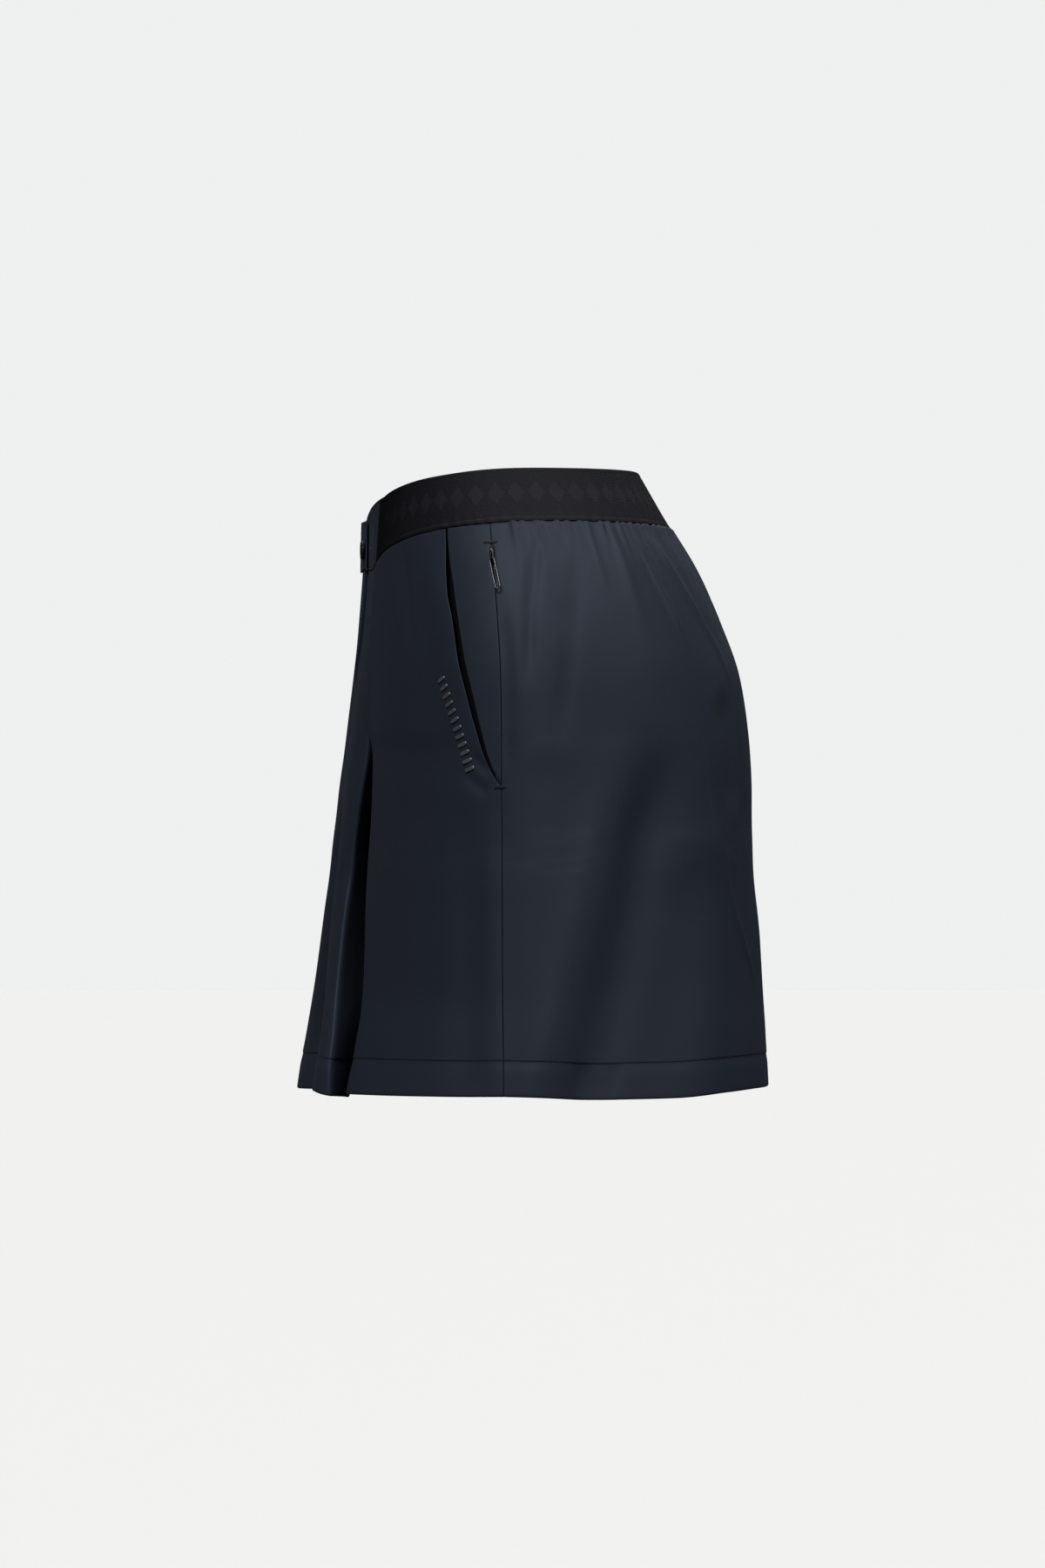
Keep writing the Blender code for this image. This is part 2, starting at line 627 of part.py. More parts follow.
def tab_column(x, edge_rows):
    """One edge point of a tab, at X. Past the front middle a top edge is the right side's."""
    edge_rows = BAND_TOP_RIGHT if x < 0 and edge_rows is BAND_TOP_LEFT else edge_rows
    height = 0.0
    for _ in range(4):
        height = glide(abs(x) / glide(height, BACK_ROWS), edge_rows)
    points, _, marks = half_section(round(height, 1))
    front = points[: int(marks["fold"]) + 1]
    return np.array([x, np.interp(abs(x), front[:, 0], front[:, 1]), height])


def add_tab(name, material, start, end, top_rows, proud):
    """A waistband tab. Its ends are pairs of X at the top and the foot; proud is how far it stands off."""
    columns = []
    for share in np.linspace(0, 1, TAB_COLUMN_COUNT):
        top_x, foot_x = (first + (last - first) * share for first, last in zip(start, end))
        forward = np.array([0, -proud(foot_x), 0])
        top, foot = tab_column(top_x, top_rows), tab_column(foot_x, BAND_FOOT_FRONT)
        columns.append((top + forward, foot + forward))
    return add_wall(name, band_rows(columns), TAB_WALL, material, on_one_side=False)


def tab_outer_end(top_rows):
    """X of the end that a tab butts against the elastic with, at its top and at its foot."""
    return [band_column(0.0, (rows, rows))[0] - 2 * SEAM_GAP for rows in (top_rows, BAND_FOOT_FRONT)]


# ---------------------------------------------------------------- button, slider and pull


def add_tube(name, path, radius, material, frame, closed, sides=8):
    """A rod along a path that lies in one plane of the given frame."""
    path = np.array(path, float)
    count = len(path)
    if closed:
        along = np.roll(path, -1, axis=0) - np.roll(path, 1, axis=0)
    else:
        along = np.gradient(path, axis=0)
    along /= np.linalg.norm(along, axis=1)[:, None]
    flat = np.cross(path[1] - path[0], path[count // 2] - path[0])
    flat /= np.linalg.norm(flat)
    points, faces = [], []
    for centre, direction in zip(path, along):
        side = np.cross(direction, flat)
        for k in range(sides):
            turn = 2 * math.pi * k / sides
            points.append(centre + radius * (math.cos(turn) * side + math.sin(turn) * flat))
    for ring in range(count if closed else count - 1):
        here, ahead = ring * sides, (ring + 1) % count * sides
        for k in range(sides):
            nxt = (k + 1) % sides
            faces.append((here + k, here + nxt, ahead + nxt, ahead + k))
    if not closed:
        faces.append(tuple(range(sides))[::-1])
        faces.append(tuple((count - 1) * sides + k for k in range(sides)))
    moved = [tuple(frame @ Vector(point)) for point in points]
    return add_mesh(name, moved, faces, material)


def add_block(name, size, bevel, material, frame):
    """A block that stands on its frame's origin plane, with its upright and upper edges chamfered."""
    half_x, half_y, high = size[0] / 2, size[1] / 2, size[2]
    points, faces = [], []
    for level, inset in ((0, 0.0), (high - bevel, 0.0), (high, bevel)):
        x, y, cut = half_x - inset, half_y - inset, bevel
        ring = (
            (-x + cut, -y), (x - cut, -y), (x, -y + cut), (x, y - cut),
            (x - cut, y), (-x + cut, y), (-x, y - cut), (-x, -y + cut),
        )
        points.extend((px, py, level) for px, py in ring)
    for ring in (0, 8):
        for k in range(8):
            nxt = (k + 1) % 8
            faces.append((ring + k, ring + nxt, ring + 8 + nxt, ring + 8 + k))
    faces.append(tuple(range(8))[::-1])
    faces.append(tuple(range(16, 24)))
    moved = [tuple(frame @ Vector(point)) for point in points]
    return add_mesh(name, moved, faces, material)


def join_by(target, other, operation):
    """Joins or cuts one object by another, which stays out of the model."""
    step = target.modifiers.new(other.name, "BOOLEAN")
    step.operation = operation
    step.object = other
    step.solver = "EXACT"
    other.hide_render = True
    other.display_type = "WIRE"


def button_frame():
    """Lies on the over tab, with its third axis pointing out of it."""
    points, _, marks = half_section(BUTTON_HEIGHT)
    front = points[: int(marks["fold"]) + 1]
    y = float(np.interp(BUTTON_X, front[:, 0], front[:, 1])) - TAB_WALL * 1.5 - LAP_GAP - SEAM_GAP
    return Matrix.Translation((BUTTON_X, y, BUTTON_HEIGHT)) @ Matrix.Rotation(math.pi / 2, 4, "X")


def add_button(name, material):
    """A round button with a raised rim, a dished face and four holes."""
    frame = button_frame()
    face_level = BUTTON_THICKNESS - BUTTON_DISH
    outline = (
        (BUTTON_RADIUS - 1.0, 0), (BUTTON_RADIUS, 0.9), (BUTTON_RADIUS, 1.7),
        (BUTTON_RADIUS - 0.7, BUTTON_THICKNESS), (BUTTON_RADIUS - BUTTON_RIM, BUTTON_THICKNESS - 0.1),
        (BUTTON_RADIUS - BUTTON_RIM - 1.2, face_level),
    )
    button = add_turned(name, outline, material, frame, BUTTON_SIDES)
    for k in range(4):
        across = BUTTON_HOLE_OFFSET * (1 if k % 2 else -1)
        along = BUTTON_HOLE_OFFSET * (1 if k > 1 else -1)
        place = frame @ Matrix.Translation((across, along, 0))
        ends = ((BUTTON_HOLE_RADIUS, -BUTTON_THICKNESS), (BUTTON_HOLE_RADIUS, 2 * BUTTON_THICKNESS))
        hole = add_turned(f"button_hole_{k}", ends, material, place, 12)
        join_by(button, hole, "DIFFERENCE")
    return button


def add_turned(name, outline, material, frame, sides):
    """A round piece about its frame's third axis. The outline's rows are radius and level."""
    points, faces = [], []
    for radius, level in outline:
        for k in range(sides):
            turn = 2 * math.pi * k / sides
            points.append((radius * math.cos(turn), radius * math.sin(turn), level))
    for ring in range(len(outline) - 1):
        low, high = ring * sides, (ring + 1) * sides
        for k in range(sides):
            nxt = (k + 1) % sides
            faces.append((low + k, low + nxt, high + nxt, high + k))
    faces.append(tuple(range(sides))[::-1])
    faces.append(tuple(range(len(points) - sides, len(points))))
    return add_mesh(name, [tuple(frame @ Vector(point)) for point in points], faces, material)


def slider_frame(mirrored=False):
    """Lies on the side seam: first axis across it, second down it, third out of the cloth."""
    seam = half_section(SLIDER_HEIGHT)[2]["seam"]
    lower = SLIDER_HEIGHT - SLIDER_SIZE[1]
    here = Vector(point_at(SLIDER_HEIGHT, seam))
    ahead = Vector(point_at(SLIDER_HEIGHT, seam + 2))
    below = Vector(point_at(lower, half_section(lower)[2]["seam"]))
    down = (below - here).normalized()
    out = down.cross(ahead - here).normalized()
    across = down.cross(out).normalized()
    origin = here + out * (CLOTH_WALL / 2 + SEAM_GAP)
    frame = Matrix.Translation(origin) @ Matrix((across, down, out)).transposed().to_4x4()
    return Matrix.Scale(-1, 4, (1, 0, 0)) @ frame if mirrored else frame


def add_slider(name, material, mirrored):
    """The slider's body with the bridge that holds its pull."""
    frame = slider_frame(mirrored)
    body = add_block(name, SLIDER_SIZE, SLIDER_BEVEL, material, frame)
    upper, lower = ARCH_FEET
    top = SLIDER_SIZE[2]
    level = top + ARCH_RISE
    path = [(0, upper, top - ARCH_ROD), (0, upper, level - ARCH_CORNER)]
    path += [(0, upper + ARCH_CORNER, level), (0, lower - ARCH_CORNER, level)]
    path += [(0, lower, level - ARCH_CORNER), (0, lower, top - ARCH_ROD)]
    join_by(body, add_tube(name + "_bridge", path, ARCH_ROD, material, frame, False), "UNION")
    return body


def pull_path():
    """The loop of the pull: a bar under the bridge, then two sides that widen and meet in a round end.

    It leans back by PULL_LEAN degrees, so that its end hangs behind the seam.
    """
    level = SLIDER_SIZE[2] + BAR_LIFT
    half_loop = [
        (PULL_BAR_HALF - 0.45, 0.0), (PULL_BAR_HALF, 0.45), (PULL_BAR_HALF, 0.2 * PULL_LENGTH),
        (PULL_BAR_HALF + 0.1, 0.4 * PULL_LENGTH), (PULL_HALF_WIDTH, PULL_LENGTH - 5.0),
    ]
    for degrees in (20, 45, 70):
        turn = math.radians(degrees)
        x, down = PULL_HALF_WIDTH * math.cos(turn), PULL_LENGTH - 2.6 + 2.0 * math.sin(turn)
        half_loop.append((x, down))
    loop = [(0.0, 0.0)] + half_loop + [(0.0, PULL_LENGTH - 0.6)] + [(-x, down) for x, down in half_loop[::-1]]
    lean = math.radians(PULL_LEAN)
    across, along = math.cos(lean), math.sin(lean)
    return [(x * across - y * along, BAR_DOWN + y * across + x * along, level) for x, y in loop]


def add_pull(name, material, mirrored):
    """The pull as one closed loop of wire."""
    return add_tube(name, pull_path(), PULL_ROD, material, slider_frame(mirrored), True)


# ---------------------------------------------------------------- the shorts


def over_tab_proud(x):
    """The over tab starts level with the other band and climbs onto the under tab before its end."""
    return (TAB_WALL + LAP_GAP) * ease(x, *TAB_CLIMB)


def build():
    clear_scene()
    cloth = finish("smooth_cloth", CLOTH_COLOUR, 0.6)
    elastic = finish("black_elastic", ELASTIC_COLOUR, 0.7)
    plastic = finish("black_plastic", BUTTON_COLOUR, 0.25)
    metal = finish("dark_metal", METAL_COLOUR, 0.3, 1.0)
    for side, mirrored in (("left", False), ("right", True)):
        add_front("front_" + side, cloth, mirrored, mirrored)
        add_back("back_" + side, cloth, mirrored)
        add_pocket_side("pocket_side_" + side, cloth, mirrored)
        add_slider("zip_slider_" + side, metal, mirrored)
        add_pull("zip_pull_" + side, metal, mirrored)
    add_elastic("waist_elastic", elastic)
    left_end, right_end = tab_outer_end(BAND_TOP_LEFT), [-x for x in tab_outer_end(BAND_TOP_RIGHT)]
    add_tab("waist_tab_left", cloth, [UNDER_TAB_END] * 2, left_end, BAND_TOP_LEFT, lambda x: 0.0)
    add_tab("waist_tab_right", cloth, right_end, [OVER_TAB_END] * 2, BAND_TOP_RIGHT, over_tab_proud)
    add_button("waist_button", plastic)


build()
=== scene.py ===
"""Pleated athletic shorts, worn and filled out with no wearer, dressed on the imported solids.

Lengths are in millimetres until they reach a mesh. +X is the wearer's left, -Y the front, +Z up.
"""

import math

import bpy
import numpy as np
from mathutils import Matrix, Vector


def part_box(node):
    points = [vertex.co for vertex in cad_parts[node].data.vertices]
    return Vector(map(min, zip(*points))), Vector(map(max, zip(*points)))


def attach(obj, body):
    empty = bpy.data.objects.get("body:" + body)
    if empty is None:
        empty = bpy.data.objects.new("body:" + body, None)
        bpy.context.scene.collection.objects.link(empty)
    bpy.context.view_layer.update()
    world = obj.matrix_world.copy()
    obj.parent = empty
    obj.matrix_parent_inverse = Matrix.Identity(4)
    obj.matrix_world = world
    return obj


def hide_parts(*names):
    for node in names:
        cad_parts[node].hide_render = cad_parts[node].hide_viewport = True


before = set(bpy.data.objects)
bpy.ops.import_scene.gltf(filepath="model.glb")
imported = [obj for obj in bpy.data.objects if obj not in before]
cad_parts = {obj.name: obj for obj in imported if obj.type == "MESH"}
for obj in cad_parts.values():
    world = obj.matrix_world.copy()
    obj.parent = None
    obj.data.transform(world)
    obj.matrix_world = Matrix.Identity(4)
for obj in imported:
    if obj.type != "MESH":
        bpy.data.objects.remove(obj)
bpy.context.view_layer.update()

# ------------------------------------------------------------------ fronts
# Each front is one piece of smooth woven cloth from the fly to the slanted pocket mouth and the side
# seam. Its pleat is edge-stitched shut down to the hip and falls open below. The hem is turned up
# inside and blind-stitched, and the top edge is sewn in under the waistband.

WALL_HALF = 0.6
CLOTH_THICKNESS = 0.5
SEAM_GAP = 0.3
ROW_START = -8.0
LEVEL_BELOW = -110.0
HEM_HEIGHT = -361.5
HEM_SHIFT_START = -300.0
HEM_DEPTH = 22.0
GROOVE_DEPTH = 0.4
TUCK_DEPTH = 2.3
PLEAT_FOOT = -148.0

# height, inner front end Y, ridge X Y, brow X Y, inner fold X Y, outer fold X Y
FRONT_ROWS = (
    (32, -91.6, 24, -91.4, 48, -88.4, 50, -88.0, 52, -87.6),
    (6, -93.0, 25, -92.8, 50, -89.8, 52, -89.3, 54, -88.8),
    (-36, -93.4, 27, -93.3, 52, -92.4, 54, -92.0, 56, -91.8),
    (-72, -96.2, 28, -96.1, 55, -94.9, 57, -94.3, 59, -94.3),
    (-104, -100.2, 28, -100.0, 58, -96.6, 60, -95.8, 62, -96.0),
    (-135, -104.4, 28, -104.0, 60, -97.4, 62, -96.3, 64, -96.6),
    (-151, -106.3, 30, -105.9, 61, -98.0, 52, -92.4, 67.5, -94.6),
    (-172, -109.2, 32, -108.8, 60, -101.6, 44, -92.2, 72, -95.2),
    (-192, -106.0, 32, -111.0, 58, -104.4, 35, -92.2, 74.5, -96.1),
    (-208, -74.0, 31, -113.2, 56.5, -106.2, 31, -93.0, 76, -97.4),
    (-225, 14.85, 30, -115.0, 56, -107.6, 30, -94.0, 78, -98.7),
    (-250, 14.85, 33, -118.2, 62, -112.0, 33, -95.8, 82.5, -100.2),
    (-298, 14.85, 58, -123.2, 76, -118.0, 45, -98.4, 90, -101.6),
    (-328, 14.85, 76, -127.4, 90, -121.3, 56, -103.0, 93.5, -106.6),
    (-345, 14.85, 80, -130.6, 95, -123.7, 62, -106.4, 94.5, -110.0),
    (-365, 14.85, 81, -133.6, 98, -124.4, 68, -111.0, 98, -114.4),
)
# height, half width, Y of the widest point, squareness, seat X Y, inner back end Y, X of the inner ends
BACK_ROWS = (
    (32, 134, 0, 2.3, 10, 70.5, 70.5, 0.15),
    (25, 138, 0, 2.3, 12, 74.5, 74.5, 0.15),
    (-8, 157, 2, 2.3, 20, 92.4, 92.2, 0.15),
    (-36, 172, 5, 2.3, 28, 109.2, 108.6, 0.15),
    (-72, 185, 8, 2.3, 36, 125.4, 124.0, 0.15),
    (-104, 192.5, 10, 2.25, 46, 135.7, 133.8, 0.15),
    (-135, 197, 12, 2.2, 54, 139.7, 137.5, 0.15),
    (-151, 199, 13, 2.2, 57, 140.9, 138.0, 0.15),
    (-172, 201, 14, 2.2, 60, 141.6, 135.5, 0.15),
    (-192, 203.2, 14, 2.15, 62, 141.4, 120.5, 0.75),
    (-208, 205, 15, 2.15, 64, 141.9, 84.0, 0.75),
    (-225, 207, 15, 2.15, 66, 142.5, 15.15, 0.75),
    (-250, 210, 15, 2.1, 68, 144.2, 15.15, 3.0),
    (-298, 215, 15, 2.1, 72, 147.0, 15.15, 7.5),
    (-328, 218.5, 14, 2.1, 75, 149.0, 15.15, 10.5),
    (-365, 222.5, 14, 2.1, 77, 150.4, 15.15, 13.5),
)
BAND_FOOT_FRONT = (
    (0, -34.8), (0.05, -34.9), (0.16, -36.4), (0.265, -35.4), (0.31, -33.0), (0.36, -29.2), (0.42, -25.7),
    (0.5, -22.6), (0.66, -17.6), (0.84, -12.8), (0.962, -9.8), (1, -8.3),
)
SIDE_SEAM = ((30, -30.2), (-8, -29.1), (-60, -26.9), (-110, -25.3), (-173, -25.1), (-365, -25.6))
POCKET_MOUTH = (
    (0, -55), (-16, -54.9), (-31, -54.9), (-52, -53.8), (-68, -51.4), (-95, -48.2), (-117, -43.4),
    (-138, -38.6), (-159, -32.8), (-173, -25.1),
)
POCKET_FOOT = -173.0
# front end, ridge, brow, inner fold, outer fold, edge
FRONT_HEM_SHIFT = (0.0, 0.4, -2.0, -3.6, -0.8, 0.9)


def read_table(at, rows, column=1):
    """One column of a table at many values of its first: cubic pieces whose slopes never overshoot."""
    table = np.array(sorted(rows), float)
    xs, ys = table[:, 0], table[:, column]
    at = np.clip(at, xs[0], xs[-1])
    slope = np.diff(ys) / np.diff(xs)
    same_way = slope[:-1] * slope[1:] > 0
    summed = np.where(same_way, slope[:-1] + slope[1:], 1.0)
    inner = np.where(same_way, 2 * slope[:-1] * slope[1:] / summed, 0.0)
    tangent = np.concatenate([slope[:1], inner, slope[-1:]])
    k = np.minimum(np.searchsorted(xs, at, side="right") - 1, len(slope) - 1)
    h = xs[k + 1] - xs[k]
    t = (at - xs[k]) / h
    from_start = (2 * t**3 - 3 * t**2 + 1) * ys[k] + (t**3 - 2 * t**2 + t) * h * tangent[k]
    return from_start + (3 * t**2 - 2 * t**3) * ys[k + 1] + (t**3 - t**2) * h * tangent[k + 1]


def ease(x, start, end):
    """0 at start, 1 at end, 3 t^2 - 2 t^3 between them."""
    t = np.clip((x - start) / (end - start), 0.0, 1.0)
    return t * t * (3 - 2 * t)


def hump(x, middle, reach):
    """A bell, exp of minus the square of the distance from its middle over its reach."""
    return np.exp(-(((x - middle) / reach) ** 2))


def bell_weights(count, reach):
    """Weights of an average over count neighbours either side: a bell of a reach, adding up to 1."""
    weights = hump(np.arange(-count, count + 1), 0, reach)
    return weights / weights.sum()


def bend(start, corner, end, count):
    """A parabola that leaves start towards corner and reaches end from it, without its last point."""
    t = np.linspace(0, 1, count, endpoint=False)[:, None]
    return (1 - t) ** 2 * np.asarray(start) + 2 * t * (1 - t) * np.asarray(corner) + t**2 * np.asarray(end)


def rounded_quarter(start, end, squareness, count):
    """A quarter of a rounded box (superellipse), leaving start along Y and reaching end along X."""
    turn = np.linspace(0, math.pi / 2, count, endpoint=False)
    x = end[0] - (end[0] - start[0]) * np.cos(turn) ** (2 / squareness)
    y = start[1] + (end[1] - start[1]) * np.sin(turn) ** (2 / squareness)
    return np.column_stack([x, y])


def side_quarter(fold, half_width, side_y, squareness, count=50):
    """A rounded box centred on X = 0, from the pleat's outer fold to the widest point."""
    share = fold[0] / half_width
    depth = (side_y - fold[1]) / (1 - share**squareness) ** (1 / squareness)
    turn = np.linspace(math.asin(share ** (squareness / 2)), math.pi / 2, count, endpoint=False)
    return np.column_stack([
        half_width * np.sin(turn) ** (2 / squareness),
        side_y - depth * np.cos(turn) ** (2 / squareness),
    ])


def blur(points, rounding):
    """Rounds a line of points 1 mm apart with a bell-shaped average along it. Its two ends stay."""
    reach = int(3 * rounding) + 1
    weights = bell_weights(reach, rounding * math.sqrt(2))
    before = 2 * points[0] - points[reach:0:-1]
    after = 2 * points[-1] - points[-2 : -reach - 2 : -1]
    longer = np.vstack([before, points, after])
    return np.column_stack([np.convolve(longer[:, k], weights, "valid") for k in (0, 1)])


def half_section(front, back):
    """The cloth's line at one height, from front middle to back middle: points 1 mm apart, and where
    along it lie the front end, ridge, brow, inner fold, outer fold, widest point, seat and back end."""
    inner_x = back[6]
    start, ridge, brow, pit, fold = (inner_x, front[0]), front[1:3], front[3:5], front[5:7], front[7:9]
    widest, seat, end = back[0:2], back[3:5], (inner_x, back[5])
    over_brow = (0.5 * ridge[0] + 0.5 * brow[0], ridge[1])
    into_pit = (0.7 * brow[0] + 0.3 * pit[0], 0.5 * brow[1] + 0.5 * pit[1])
    out_of_pit = (0.5 * pit[0] + 0.5 * fold[0], 0.4 * pit[1] + 0.6 * fold[1])
    stretches = (
        rounded_quarter(start, ridge, 3.2, 40),
        bend(ridge, over_brow, brow, 20),
        bend(brow, into_pit, pit, 20),
        bend(pit, out_of_pit, fold, 20),
        side_quarter(fold, back[0], back[1], back[2]),
        rounded_quarter(widest, seat, 2.15, 50),
        rounded_quarter(end, seat, 3.2, 40)[::-1],
    )
    line = np.vstack(stretches)
    lengths = np.concatenate([[0], np.cumsum(np.linalg.norm(np.diff(line, axis=0), axis=1))])
    firsts = np.cumsum([0] + [len(points) for points in stretches])
    marks = lengths[np.minimum(firsts, len(lengths) - 1)]
    places = np.linspace(0, lengths[-1], int(lengths[-1]) + 1)
    even = np.column_stack([np.interp(places, lengths, line[:, k]) for k in (0, 1)])
    rounded = blur(even, 6.0)
    for mark, reach, rounding in ((2, 9.0, 1.1), (4, 16.0, 1.3)):
        crisp = np.exp(-(((places - marks[mark]) / reach) ** 4))[:, None]
        rounded = crisp * blur(even, rounding) + (1 - crisp) * rounded
    return rounded, places, marks


# The form of the cloth, read ahead on a lattice: heights 0.5 mm apart by 96 steps in each of the seven
# stretches between the marks. MARKS holds the marks' distances along the section at each height.
LATTICE_GAP, STEPS, STRETCHES = 0.5, 96, 7
COLUMNS = STRETCHES * STEPS
LATTICE_Z = np.arange(-366.0, 33.0, LATTICE_GAP)
FRONT_AT = np.stack([read_table(LATTICE_Z, FRONT_ROWS, k) for k in range(1, 10)], axis=1)
BACK_AT = np.stack([read_table(LATTICE_Z, BACK_ROWS, k) for k in range(1, 8)], axis=1)
FORM = np.empty((len(LATTICE_Z), COLUMNS + 1, 3))
MARKS = np.empty((len(LATTICE_Z), STRETCHES + 1))
for level, (front_at, back_at) in enumerate(zip(FRONT_AT, BACK_AT)):
    line, places, marks = half_section(front_at, back_at)
    ways = np.interp(np.arange(COLUMNS + 1) / STEPS, np.arange(STRETCHES + 1), marks)
    FORM[level, :, 0] = np.interp(ways, places, line[:, 0])
    FORM[level, :, 1] = np.interp(ways, places, line[:, 1])
    FORM[level, :, 2] = LATTICE_Z[level]
    MARKS[level] = marks


def side_place(level_y):
    """Where each lattice height's line, between the outer fold and the widest point, has the given Y."""
    found = np.empty(len(LATTICE_Z))
    for level, wanted in enumerate(level_y):
        ys = FORM[level, 4 * STEPS : 5 * STEPS, 1]
        way = np.interp(wanted, ys, np.arange(4 * STEPS, 5 * STEPS)) / STEPS
        found[level] = np.interp(way, np.arange(STRETCHES + 1), MARKS[level])
    return found


SEAM = side_place(read_table(LATTICE_Z, SIDE_SEAM))
MOUTH = side_place(read_table(np.maximum(LATTICE_Z, POCKET_FOOT), POCKET_MOUTH))
EDGE = np.where(LATTICE_Z > POCKET_FOOT, MOUTH, SEAM)


def smooth_heights(values, reach):
    """Evens the lattice out along its heights with a bell-shaped average, which hides the tables' rows."""
    weights = bell_weights(3 * reach, reach * 1.41)
    steps_before = values[:1] + (values[:1] - values[1:2]) * np.arange(3 * reach, 0, -1).reshape(-1, 1, 1)
    steps_after = values[-1:] + (values[-1:] - values[-2:-1]) * np.arange(1, 3 * reach + 1).reshape(-1, 1, 1)
    longer = np.concatenate([steps_before, values, steps_after])
    return sum(weight * longer[k : k + len(values)] for k, weight in enumerate(weights))


FORM[:, :, :2] = smooth_heights(FORM[:, :, :2], 8)
along, down = np.gradient(FORM, axis=1), -np.gradient(FORM, axis=0)
NORMALS = np.cross(down, along)
NORMALS /= np.maximum(np.linalg.norm(NORMALS, axis=2, keepdims=True), 1e-9)


def at_height(values, height):
    """A value that is known at the lattice's heights, at other heights."""
    return np.interp(height, LATTICE_Z, values)


def side_seam(height):
    """The side seam's place along the section at each height."""
    return at_height(SEAM, height)


def mark(k):
    """The place of one of the eight marks, as a function of the height."""
    return lambda height: at_height(MARKS[:, k], height)


def marks_at(height):
    """The eight marks' places at each height."""
    return [mark(k)(height) for k in range(STRETCHES + 1)]


def way_of(place, height):
    """The way along the section, 0 to 7 by its marks, of a distance along it in mm."""
    marks = marks_at(height)
    return sum(np.clip((place - a) / (b - a), 0, 1) for a, b in zip(marks, marks[1:]))


def on_form(way, height):
    """Mid-wall points and outward normals, read from the lattice between its four nearest entries."""
    column = np.clip(way * STEPS, 0, COLUMNS - 1e-6)
    row = np.clip((height - LATTICE_Z[0]) / LATTICE_GAP, 0, len(LATTICE_Z) - 1.001)
    c, r = column.astype(int), row.astype(int)
    fc, fr = (column - c)[..., None], (row - r)[..., None]
    read = []
    for values in (FORM, NORMALS):
        low = values[r, c] * (1 - fc) + values[r, c + 1] * fc
        high = values[r + 1, c] * (1 - fc) + values[r + 1, c + 1] * fc
        read.append(low * (1 - fr) + high * fr)
    read[1] /= np.maximum(np.linalg.norm(read[1], axis=-1, keepdims=True), 1e-9)
    return read


def spread(start, end, count, near_start=(), near_end=()):
    """Places from start to end: a few at fixed distances from either end and the rest evenly between.
    Start and end are functions of height, and so is what it gives, one column for each place."""
    first, last = (near_start[-1] if near_start else 0), (near_end[-1] if near_end else 0)
    shares = np.linspace(0, 1, count + 2)[1:-1]
    plan = [(0.0, near, 0.0) for near in near_start]
    plan += [(share, first, last) for share in shares]
    plan += [(1.0, 0.0, near) for near in near_end[::-1]]
    shares, starts, ends = np.array(plan).T
    return len(plan), lambda h: (start(h) + starts) * (1 - shares) + (end(h) - ends) * shares


def side_by_side(height, stretches):
    """The places of several stretches of columns. Each reads its own columns of the heights."""
    parts, first = [], 0
    for count, places in stretches:
        parts.append(places(height if height.shape[1] == 1 else height[:, first : first + count]))
        first += count
    return np.concatenate(parts, axis=1)


def laid_rows(nominal, columns_at, foot_of):
    """Heights and places of a piece's grid. Each column hangs from the waistband's foot above it: the
    rows follow the foot near the top and are level below."""
    first_guess = -20.0
    foot = np.full(columns_at(np.array([[first_guess]])).shape[1], first_guess)
    for _ in range(3):
        height = foot[None, :]
        place = columns_at(height)
        x, half_width = on_form(way_of(place, height), height)[0][..., 0], read_table(height, BACK_ROWS)
        foot = foot_of(np.clip(x / half_width, 0, 1)[0], place[0])
    nominal = np.asarray(nominal, float)[:, None]
    height = nominal + (foot[None, :] - SEAM_GAP - ROW_START) * ease(nominal, LEVEL_BELOW, ROW_START)
    return height, columns_at(height)


# Soft folds of the worn cloth. Each runs along a bent line, given as girth from the side seam (back is
# positive) and height at its start, middle and end, and is a bell across with a reach, raised by a rise.
FOLDS_LEFT = (
    ((76, -130), (48, -260), (-5, -440), 15, 2.8),
    ((106, -130), (79, -265), (27, -440), 19, -8.0),
    ((130, -200), (104, -300), (60, -440), 26, -4.4),
    ((142, -170), (138, -270), (120, -440), 22, 1.8),
    ((142, -150), (160, -230), (212, -306), 2.4, 1.0),
    ((36, -6), (23, -50), (18, -118), 4.0, -1.5),
    ((60, -4), (47, -70), (34, -160), 7.0, -1.7),
    ((40, -60), (38, -110), (26, -165), 9.0, 0.9),
    ((94, -10), (109, -42), (136, -92), 2.6, 1.2),
    ((107, -10), (142, -52), (190, -118), 3.0, 1.6),
    ((120, -12), (150, -48), (182, -96), 5.0, -0.9),
    ((160, -110), (170, -145), (174, -195), 14, -2.0),
    ((3, -50), (4, -110), (3, -168), 5.5, -1.1),
    ((-8, -180), (-6, -280), (-8, -380), 8.0, 0.9),
    ((-26, -175), (-26, -280), (-28, -380), 13, -1.4),
    ((-22, -150), (-14, -158), (-6, -163), 3.5, -0.9),
    ((-30, -160), (-18, -170), (-7, -176), 4.0, -0.8),
    ((-78, -20), (-76, -48), (-74, -90), 6.0, -0.8),
    ((-92, -30), (-92, -52), (-90, -80), 4.0, 0.6),
    ((50, -338), (48, -352), (46, -372), 6.0, -1.2),
    ((70, -338), (69, -352), (68, -372), 5.0, -0.9),
    ((255, -190), (250, -280), (244, -380), 22, -2.6),
    ((305, -200), (300, -290), (296, -380), 20, 2.0),
    ((214, -220), (230, -300), (244, -380), 17, 1.6),
    ((232, -6), (228, -60), (222, -130), 6.0, -1.4),
)
